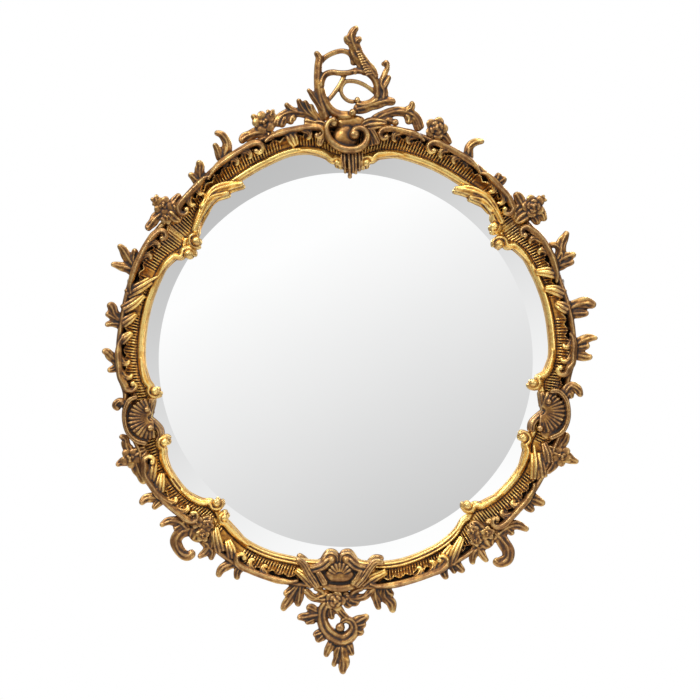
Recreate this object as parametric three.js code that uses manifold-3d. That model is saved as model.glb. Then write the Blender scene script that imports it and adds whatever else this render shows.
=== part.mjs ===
import * as THREE from "three";
import { mergeVertices } from "three/addons/utils/BufferGeometryUtils.js";
import Module from "manifold-3d";

const wasm = await Module();
wasm.setup();

// A round rococo wall mirror: bevelled plate, eight carved rails, pierced crest and hanging pendant.
// Millimetres. x runs to the right, z up and y to the wall; the origin is the centre of the board's back.
// Depth is counted forward from that back, and the carving's lift from the crest of the rails' rim.

// Plate and backing board
const gap = 0.3; // clearance between pieces that touch
const plateRadius = 288;
const plateThickness = 5;
const bevelWidth = 38;
const bevelDrop = 2.4;
const boardThickness = 4;
const boardLap = 11; // board beyond the plate's edge
const rebateClearance = 1; // rebate beyond the plate's edge
const discSteps = 60;

// Rail section
const beadWidth = 8;
const beadHeight = 12;
const hollowFloor = 5;
const rimWidth = 11;
const rimHeight = 22;
const backChamfer = 4;
const endLift = 0.5; // share of the height left under the ornament at a rail's end
const endBlend = 7; // degrees over which the rail sinks to its end
const railStep = 4.4; // degrees between sections, halved at the ends

// Carving
const carveLift = -11; // middle of the outer sprigs, from the rim's crest
const carveHalf = 6; // half the thickness of a sprig

// Back hardware
const screwCircle = 5.5; // screw centres beyond the plate's edge
const screwHeadRadius = 2.8;
const screwHeadHeight = 1.6;
const screwRadius = 1.5;
const screwLength = 12;
const countersink = 1.8; // depth of a board screw's flat head
const screwSunk = 0.2; // flat head below the board's face
const bumperRadius = 6;
const bumperThickness = 6.2;
const bumperInset = 8;
const ringWire = 1.1;
const ringWidth = 16; // between the two sides
const ringDrop = 15; // from the turning axis to the bottom of the loop
const hangerUp = 108; // turning axis above the middle
const hangerOut = 4.2; // middle of the hanger beyond the board's edge at that height
const knuckleRadius = 2.8;
const knuckleLength = 11;
const strapThickness = 1.2;
const strapLength = 42;
const strapScrewEnd = 8; // last screw from the strap's foot
const strapScrewPitch = 10;

const plateBack = boardThickness + gap;
const plateFront = plateBack + plateThickness;
const shelf = plateFront + gap;
const rimFront = shelf + rimHeight;
const boardRadius = plateRadius + boardLap;
const rebateRadius = plateRadius + rebateClearance;
const bevelSlope = bevelDrop / bevelWidth;
const hangerSide = Math.sqrt(boardRadius ** 2 - hangerUp ** 2) + hangerOut;
const hingeDepth = -(gap + strapThickness + gap + ringWire + 0.4);

function rad(degrees) {
  return (degrees * Math.PI) / 180;
}

// A point at an angle, a height beyond the plate's edge and a depth.
function polar(angle, height, depth) {
  const r = plateRadius + height;
  return new THREE.Vector3(r * Math.cos(rad(angle)), -depth, r * Math.sin(rad(angle)));
}

// A closed solid from three.js geometry, faces outward.
function solid(geometry) {
  const bare = new THREE.BufferGeometry();
  bare.setAttribute("position", geometry.getAttribute("position"));
  bare.setIndex(geometry.index);
  const merged = mergeVertices(bare, 1e-4);
  const faces = [];
  for (let i = 0; i < merged.index.count; i += 3) {
    const [a, b, c] = [0, 1, 2].map((k) => merged.index.getX(i + k));
    if (a !== b && b !== c && c !== a) faces.push(a, b, c);
  }
  const make = (list) =>
    new wasm.Manifold(
      new wasm.Mesh({
        numProp: 3,
        vertProperties: merged.attributes.position.array,
        triVerts: new Uint32Array(list),
      }),
    );
  const made = make(faces);
  if (made.volume() > 0) return made;
  return make(faces.reverse());
}

// A skin over rings of equal count, capped at both ends, or joined round when it is a loop.
function skin(rings, loop = false) {
  const sides = rings[0].length;
  const faces = [];
  const last = loop ? rings.length : rings.length - 1;
  for (let i = 0; i < last; i += 1) {
    const here = i * sides;
    const next = ((i + 1) % rings.length) * sides;
    for (let j = 0; j < sides; j += 1) {
      const k = (j + 1) % sides;
      faces.push(here + j, next + j, next + k, here + j, next + k, here + k);
    }
  }
  if (!loop) {
    const end = (rings.length - 1) * sides;
    for (const [a, b, c] of capOf(rings[0])) faces.push(a, b, c);
    for (const [a, b, c] of capOf(rings[rings.length - 1])) faces.push(end + c, end + b, end + a);
  }
  const geometry = new THREE.BufferGeometry().setFromPoints(rings.flat());
  geometry.setIndex(faces);
  return solid(geometry);
}

// Triangles across a flat ring, wound like the ring.
function capOf(ring) {
  const middle = ring.reduce((sum, p) => sum.add(p), new THREE.Vector3()).divideScalar(ring.length);
  const normal = new THREE.Vector3();
  ring.forEach((p, i) => {
    const a = p.clone().sub(middle);
    const b = ring[(i + 1) % ring.length].clone().sub(middle);
    normal.add(a.cross(b));
  });
  normal.normalize();
  const u = ring[1].clone().sub(ring[0]);
  u.addScaledVector(normal, -u.dot(normal)).normalize();
  const v = normal.clone().cross(u);
  const flat = ring.map((p) => new THREE.Vector2(p.dot(u), p.dot(v)));
  return THREE.ShapeUtils.triangulateShape(flat, []);
}

// A closed outline of [a, b] rows moved outward by grow.
function grown(rows, grow) {
  const count = rows.length;
  const turn = rows.reduce((sum, [a, b], i) => {
    const [c, d] = rows[(i + 1) % count];
    return sum + a * d - b * c;
  }, 0);
  const side = Math.sign(turn);
  const normal = (from, to) => {
    const length = Math.hypot(to[0] - from[0], to[1] - from[1]);
    return [(side * (to[1] - from[1])) / length, (side * (from[0] - to[0])) / length];
  };
  return rows.map((row, i) => {
    const [p, q] = normal(rows[(i + count - 1) % count], row);
    const [r, t] = normal(row, rows[(i + 1) % count]);
    const share = grow / (1 + p * r + q * t);
    return [row[0] + share * (p + r), row[1] + share * (q + t)];
  });
}

// A turned solid about a line along y, from rows of [radius, depth] that start and end on the line.
function turned(rows, steps, grow, x = 0, z = 0) {
  const points = grown(rows, grow).map(
    ([r, d], i) => new THREE.Vector2(i === 0 || i === rows.length - 1 ? 0 : r, -d),
  );
  const lathe = new THREE.LatheGeometry(points, steps);
  lathe.translate(x, 0, z);
  return solid(lathe);
}

// Smooth curve through rows of [angle, value].
function smooth(rows, angle) {
  let i = 0;
  while (i < rows.length - 2 && angle > rows[i + 1][0]) i += 1;
  const before = rows[Math.max(i - 1, 0)];
  const [a0, v0] = rows[i];
  const [a1, v1] = rows[i + 1];
  const after = rows[Math.min(i + 2, rows.length - 1)];
  const span = a1 - a0;
  const t = (angle - a0) / span;
  const m0 = (span * (v1 - before[1])) / (a1 - before[0]);
  const m1 = (span * (after[1] - v0)) / (after[0] - a0);
  const t2 = t * t;
  const t3 = t2 * t;
  return (2 * t3 - 3 * t2 + 1) * v0 + (t3 - 2 * t2 + t) * m0 + (3 * t2 - 2 * t3) * v1 + (t3 - t2) * m1;
}

// Every shape below is a function of grow: grown by the gap it cuts a seat into its neighbour.

// A tapering carved stroke with a flat back and a ridge, through rows of [point, half width].
function sweep(rows, depth, half, grow) {
  const points = rows.map(([p]) => p);
  const curve = new THREE.CatmullRomCurve3(points, false, "centripetal");
  const steps = rows.length > 5 ? Math.round(1.2 * (rows.length - 1)) : rows.length - 1;
  const widest = Math.max(...rows.map(([, w]) => w));
  const rings = [];
  for (let i = 0; i <= steps; i += 1) {
    const t = i / steps;
    const at = curve.getPoint(t);
    const along = curve.getTangent(t).setY(0).normalize();
    const across = new THREE.Vector3(-along.z, 0, along.x);
    const row = Math.min(Math.floor(t * (rows.length - 1)), rows.length - 2);
    const w = THREE.MathUtils.lerp(rows[row][1], rows[row + 1][1], t * (rows.length - 1) - row);
    const ridge = half * (0.45 + (0.55 * w) / widest);
    if (i === 0) at.addScaledVector(along, -grow);
    if (i === steps) at.addScaledVector(along, grow);
    const section = grown([[-w, -half], [w, -half], [0, ridge]], grow);
    rings.push(section.map(([side, up]) => at.clone().addScaledVector(across, side).setY(-depth - up)));
  }
  return skin(rings);
}

// Strokes on the ring, as rows of [angle, height beyond the plate's edge, half width].
function leaf(rows, lift = carveLift, half = carveHalf) {
  const placed = rows.map(([angle, height, w]) => [polar(angle, height, 0), w]);
  return (grow) => sweep(placed, rimFront + lift, half, grow);
}

// Strokes of the crest, as rows of [x, height above the plate's top edge, half width].
function crest(rows, lift = carveLift, half = carveHalf) {
  const placed = rows.map(([x, height, w]) => [new THREE.Vector3(x, 0, plateRadius + height), w]);
  return (grow) => sweep(placed, rimFront + lift, half, grow);
}

// Strokes of the pendant, as rows of [x, drop below the plate's bottom edge, half width].
function hung(rows, lift = carveLift, half = carveHalf) {
  const placed = rows.map(([x, drop, w]) => [new THREE.Vector3(x, 0, -plateRadius - drop), w]);
  return (grow) => sweep(placed, rimFront + lift, half, grow);
}

function ball(centre, radius) {
  return (grow) => {
    const made = new THREE.IcosahedronGeometry(radius + grow, radius > 8.2 ? 1 : 0);
    made.translate(centre.x, centre.y, centre.z);
    return solid(mergeVertices(made.deleteAttribute("normal").deleteAttribute("uv"), 1e-4));
  };
}

function bud(angle, height, radius, lift = carveLift) {
  return ball(polar(angle, height, rimFront + lift), radius);
}

// The ball that ends a sight scroll, on a neck that runs out into the rail.
function volute(angle, height, radius, lift = -14) {
  const head = bud(angle, height, radius, lift);
  const neck = leaf([[angle, height, 0.7 * radius], [angle, height + 2.4 * radius, 0.7 * radius]], -16, 5);
  return (grow) => head(grow).add(neck(grow));
}

function crestBall(x, height, radius, lift = carveLift) {
  return ball(new THREE.Vector3(x, -rimFront - lift, plateRadius + height), radius);
}

function hungBall(x, drop, radius, lift = carveLift) {
  return ball(new THREE.Vector3(x, -rimFront - lift, -plateRadius - drop), radius);
}

// One rail between two angles. lap is how far the sight edge covers the plate and reach how far the
// rim stands beyond it, both as rows of [angle, millimetres].
function rail({ from, to, lap, reach }) {
  return (grow) => {
    const ease = (gap / 2 / plateRadius) * (180 / Math.PI);
    const growth = (grow / plateRadius) * (180 / Math.PI);
    const span = to - from - 2 * ease;
    const steps = Math.round((to - from) / railStep);
    const rings = [];
    for (let i = 0; i <= steps; i += 1) {
      const t = i / steps;
      let angle = from + ease + span * (t - (0.6 * Math.sin(2 * Math.PI * t)) / (2 * Math.PI));
      if (i === 0) angle -= growth;
      if (i === steps) angle += growth;
      const toEnd = Math.min(angle - from, to - angle) / endBlend;
      const lift = endLift + (1 - endLift) * THREE.MathUtils.smoothstep(toEnd, 0, 1);
      const sight = -smooth(lap, angle);
      const rim = smooth(reach, angle);
      const rows = [
        [rebateClearance, plateBack],
        [rebateClearance, shelf - bevelSlope * bevelWidth],
        [sight + 1, shelf - bevelSlope * (bevelWidth + sight)],
        [sight, shelf + 3 * lift],
        [sight + 0.4 * beadWidth, shelf + 0.85 * beadHeight * lift],
        [sight + beadWidth, shelf + beadHeight * lift],
        [sight + 2 * beadWidth, shelf + hollowFloor * lift],
        [rim - 1.2 * rimWidth, shelf + (hollowFloor + 1.5) * lift],
        [rim - 0.8 * rimWidth, shelf + 0.85 * rimHeight * lift],
        [rim - 0.4 * rimWidth, shelf + rimHeight * lift],
        [rim, shelf + 0.6 * rimHeight * lift],
        [rim - backChamfer, plateBack],
      ];
      rings.push(grown(rows, grow).map(([height, depth]) => polar(angle, height, depth)));
    }
    return skin(rings);
  };
}

// A flat-headed screw from behind, sunk in the board.
function sunkScrew(x, z) {
  const rows = [
    [0, screwSunk],
    [screwHeadRadius, screwSunk],
    [screwRadius, screwSunk + countersink],
    [screwRadius, screwSunk + screwLength - screwRadius],
    [0, screwSunk + screwLength],
  ];
  return (grow) => turned(rows, 6, grow, x, z);
}

// A round-headed screw from behind, its head on the strap.
function strapScrew(x, z) {
  const under = -gap - strapThickness - gap;
  const rows = [
    [0, under - screwHeadHeight],
    [0.6 * screwHeadRadius, under - screwHeadHeight],
    [screwHeadRadius, under],
    [screwRadius, under],
    [screwRadius, under + screwLength - screwRadius],
    [0, under + screwLength],
  ];
  return (grow) => turned(rows, 6, grow, x, z);
}

// A D-shaped wire ring hanging from the straight bar that turns in its strap.
function hangerRing(x) {
  return (grow) => {
    const r = ringWire + grow;
    const side = ringWidth / 2 + ringWire;
    const round = side * 0.8;
    const path = [];
    for (const [px, pz] of [
      [-side + 2, 0],
      [side - 2, 0],
      [side - 0.6, -0.6],
      [side, -2],
      [side, round - ringDrop],
    ])
      path.push(new THREE.Vector3(x + px, -hingeDepth, hangerUp + pz));
    for (let i = 1; i < 6; i += 1) {
      const turn = (i / 6) * Math.PI;
      const px = side * Math.cos(turn);
      const pz = round - ringDrop - (round + ringWire) * Math.sin(turn);
      path.push(new THREE.Vector3(x + px, -hingeDepth, hangerUp + pz));
    }
    path.push(new THREE.Vector3(x - side, -hingeDepth, hangerUp + round - ringDrop));
    path.push(new THREE.Vector3(x - side, -hingeDepth, hangerUp - 2));
    path.push(new THREE.Vector3(x - side + 0.6, -hingeDepth, hangerUp - 0.6));
    const rings = path.map((p, i) => {
      const before = path[(i + path.length - 1) % path.length];
      const after = path[(i + 1) % path.length];
      const along = after.clone().sub(before).normalize();
      const across = new THREE.Vector3(-along.z, 0, along.x);
      const ring = [];
      for (let k = 0; k < 6; k += 1) {
        const turn = (k / 6) * 2 * Math.PI;
        const q = p.clone().addScaledVector(across, r * Math.cos(turn));
        q.y += r * Math.sin(turn);
        ring.push(q);
      }
      return ring;
    });
    return skin(rings, true);
  };
}

// The strap: a plate on the board with a rolled knuckle at its top.
function hangerStrap(x) {
  return (grow) => {
    const outline = new THREE.Shape();
    const w = knuckleLength / 2 + grow;
    const foot = hangerUp - strapLength - grow;
    outline.moveTo(x - w, hangerUp + grow);
    outline.lineTo(x - w, foot + 3);
    outline.lineTo(x - w + 3, foot);
    outline.lineTo(x + w - 3, foot);
    outline.lineTo(x + w, foot + 3);
    outline.lineTo(x + w, hangerUp + grow);
    const thick = strapThickness + 2 * grow;
    const plate = new THREE.ExtrudeGeometry(outline, { depth: thick, bevelEnabled: false });
    plate.rotateX(Math.PI / 2);
    plate.translate(0, gap + strapThickness + grow, 0);
    const knuckle = new THREE.CylinderGeometry(knuckleRadius + grow, knuckleRadius + grow, 2 * w, 16);
    knuckle.rotateZ(Math.PI / 2);
    knuckle.translate(x, -hingeDepth, hangerUp);
    return solid(plate).add(solid(knuckle));
  };
}

const plateRows = [
  [0, plateFront],
  [plateRadius - bevelWidth, plateFront],
  [plateRadius, plateFront - bevelDrop],
  [plateRadius, plateBack],
  [0, plateBack],
];
const plate = (grow) => turned(plateRows, discSteps, grow);

const boardRows = [
  [0, boardThickness],
  [boardRadius, boardThickness],
  [boardRadius, 0],
  [boardRadius / 2, 0], // keeps the middle of the back clear of the faces round the screws
  [0, 0],
];
const board = (grow) => turned(boardRows, discSteps, grow);

function bumper(angle) {
  const at = polar(angle, -bumperInset, 0);
  const rows = [
    [0, -gap],
    [bumperRadius, -gap],
    [bumperRadius, 1 - bumperThickness],
    [bumperRadius - 1.5, -gap - bumperThickness],
    [0, -gap - bumperThickness],
  ];
  return (grow) => turned(rows, 12, grow, at.x, at.z);
}

// The eight rails, from the crest round to the left. Each carries its volutes and leaf sprigs.
const rails = {
  rail_top_left: [
    rail({
      from: 90,
      to: 143.3,
      lap: [
        [90, 26], [93, 23], [97, 13], [103, 6], [112, 8], [122, 11.5], [131, 13], [136, 18], [139, 27],
        [141.5, 31], [143.3, 26],
      ],
      reach: [[90, 28], [110, 30], [122, 26], [130, 21], [136, 19], [143.3, 20]],
    }),
    volute(92.4, -25, 4.5, -16),
    volute(141.5, -34, 8),
    leaf([[126, -10, 3], [122.5, -14, 3.4], [120.3, -17, 2.4]], -12, 3),
    leaf([[122.5, 16, 5], [120.3, 30, 5], [118.6, 42, 4], [118.9, 54, 3.4], [120, 62, 2.2]]),
    leaf([[122, 24, 4], [121.4, 40, 3.4], [121.3, 50, 2.4]]),
    leaf([[129.5, 12, 6], [128.2, 26, 5], [126.8, 37, 4], [126.5, 43, 2.4]]),
    leaf([[129.5, 14, 5], [129.8, 28, 3.6], [130.1, 37, 2.6]]),
  ],
  rail_left: [
    rail({
      from: 143.3,
      to: 196.5,
      lap: [
        [143.3, 26], [145.5, 31], [148, 26], [151, 21], [158, 19], [172, 19], [182, 21], [186, 24],
        [189, 30], [191.5, 26], [196.5, 18],
      ],
      reach: [
        [143.3, 20], [150, 22], [158, 21], [168, 18.5], [180, 18], [185, 16], [188.5, 12.5], [192, 16],
        [196.5, 20],
      ],
    }),
    volute(146, -36, 8),
    volute(189.3, -31, 6.5),
    leaf([[157, 12, 6], [155.4, 28, 5], [153.8, 42, 4], [153.1, 52, 2]]),
    leaf([[157, 14, 6], [157.2, 32, 4.6], [157.8, 50, 2]]),
    leaf([[157, 18, 5], [154, 26, 4], [152, 29, 2.5]]),
    leaf([[170.5, 10, 6], [169.2, 24, 5], [167.2, 32, 4.5], [166.6, 38, 3]]),
    leaf([[170.5, 14, 5], [168.9, 38, 3]]),
    leaf([[171, 10, 5], [171.2, 28, 3], [171.8, 36, 2.4]]),
    leaf([[181, 10, 6], [179.5, 22, 5], [178.2, 30, 4], [177.8, 37, 2]]),
    leaf([[181, 12, 5], [182.3, 22, 3.5], [182.6, 30, 2.4]]),
  ],
  rail_lower_left: [
    rail({
      from: 196.5,
      to: 231,
      lap: [
        [196.5, 18], [200, 22], [203, 24], [205, 22], [208, 16], [214, 13], [220, 14.5], [224, 20],
        [227, 28], [229, 28], [231, 24],
      ],
      reach: [[196.5, 20], [204, 16], [208, 22], [220, 20], [225, 16], [231, 18]],
    }),
    volute(204.5, -23, 6.5),
    volute(228, -32, 6.5),
    leaf([[217.5, 12, 6], [216, 24, 5], [214.8, 34, 4.5], [215.1, 47, 3]]),
    leaf([[217, 14, 5], [217.4, 26, 3.6], [217.7, 37, 2.6]]),
  ],
  rail_bottom_left: [
    rail({
      from: 231,
      to: 269.2,
      lap: [
        [231, 24], [233, 22], [236, 19], [241, 14], [248, 13], [255, 15.5], [261, 17], [264.5, 20],
        [267, 26], [269.2, 22],
      ],
      reach: [[231, 18], [236, 22], [250, 23], [262, 19], [269.2, 16]],
    }),
    leaf([[243, 12, 6], [241, 22, 5], [239.4, 34, 4.4], [239.5, 48, 3]]),
    leaf([[243.5, 14, 5], [243, 28, 3.6], [243.7, 39, 2.6]]),
    leaf([[258.4, 14, 6], [257.2, 32, 5], [256.2, 48, 4], [255.8, 57, 2.6]]),
    leaf([[258.6, 14, 5], [258.9, 36, 4], [259, 47, 2.6]]),
    leaf([[258, 14, 5], [256.6, 28, 4], [255.2, 36, 3]]),
  ],
  rail_bottom_right: [
    rail({
      from: 269.2,
      to: 308,
      lap: [
        [269.2, 22], [271.5, 26], [274, 20], [278, 16], [283, 12.5], [292, 12.5], [298, 14.5],
        [303, 20], [306, 26], [308, 26],
      ],
      reach: [[269.2, 16], [276, 20], [292, 22], [300, 21.5], [308, 20]],
    }),
    leaf([[280, 14, 5], [279.4, 30, 5], [280.7, 44, 4.6], [280.6, 55, 3]]),
    leaf([[277.4, 12, 5], [277.2, 30, 4.4], [277.7, 48, 3]]),
    leaf([[279.5, 14, 5], [280.6, 28, 4.6], [281.6, 32, 3]]),
    leaf([[297, 10, 6], [298.4, 22, 5], [299.2, 36, 2.6]]),
    leaf([[297, 12, 4], [297.2, 32, 2]]),
    leaf([[295.4, 10, 5], [294.8, 24, 4], [294.8, 34, 3]]),
  ],
  rail_lower_right: [
    rail({
      from: 308,
      to: 345.5,
      lap: [
        [308, 26], [310, 31], [313, 26], [317, 21], [322, 18], [329, 17.5], [333, 21], [336, 26],
        [339, 25], [342, 25], [345.5, 18],
      ],
      reach: [[308, 20], [318, 20], [326, 20.5], [334, 18], [340, 17], [345.5, 20]],
    }),
    volute(310, -35, 6.5),
    volute(336.3, -29.5, 6.5),
    leaf([[322.4, 12, 7], [323.6, 26, 5.5], [324.1, 40, 3]]),
    leaf([[321.6, 12, 5], [321.2, 26, 4], [321.3, 34, 2.6]]),
  ],
  rail_right: [
    rail({
      from: 345.5,
      to: 399.4,
      lap: [
        [345.5, 18], [349, 22], [352, 30], [354, 31], [356.5, 23], [360, 18], [368, 15.5], [385, 15],
        [391, 16.5], [394.5, 21.5], [397, 30], [399.4, 26],
      ],
      reach: [
        [345.5, 20], [349, 16], [352, 12.5], [355, 13], [360, 18], [370, 21], [380, 19.5], [391, 23],
        [396, 19], [399.4, 18],
      ],
    }),
    volute(353, -36, 6.5),
    volute(397, -32, 8),
    leaf([[384.5, 14, 6], [386, 28, 5], [388.5, 40, 5], [390.2, 54, 2.4]]),
    leaf([[384.5, 16, 6], [385, 32, 5], [384.8, 50, 3]]),
    leaf([[384, 14, 5], [383.6, 32, 4], [383.4, 44, 2.4]]),
    leaf([[383, 18, 5], [386.5, 33, 3.4], [388.6, 31, 3], [389.4, 20, 3]]),
    leaf([[372.4, 12, 7], [373.4, 30, 6], [373, 46, 5], [372.1, 53, 3.4]]),
    leaf([[371.6, 14, 6], [371.3, 30, 4.5], [370.9, 42, 3]]),
    leaf([[363, 12, 7], [364.7, 30, 5], [365.2, 40, 3.6], [364.9, 49, 1.6]]),
    leaf([[362.8, 14, 6], [363.3, 30, 4], [363.4, 38, 2.4]]),
    leaf([[361.4, 14, 6], [360.9, 30, 4.6], [360.6, 41, 2.6]]),
  ],
  rail_top_right: [
    rail({
      from: 399.4,
      to: 450,
      lap: [
        [399.4, 26], [401.5, 26], [404, 15], [408, 9.5], [416, 9], [430, 8.5], [438, 11], [442, 17],
        [445.5, 24], [450, 26],
      ],
      reach: [[399.4, 18], [405, 22], [415, 27], [430, 30], [450, 28]],
    }),
    volute(402, -22, 7),
    volute(444, -24, 5.5, -15),
    leaf([[410, -4, 3], [414, -11, 3.6], [417.6, -17, 2.6]], -12, 3),
    leaf([[417.8, 16, 6.5], [419, 28, 5], [419.8, 40, 4], [419.2, 50, 3.4], [417.6, 57, 2.4]]),
    leaf([[409.6, 14, 6], [410, 26, 4.5], [410.6, 35, 2.6]]),
    leaf([[409.6, 16, 5], [409, 28, 4], [408.7, 36, 2.4]]),
  ],
};

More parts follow.
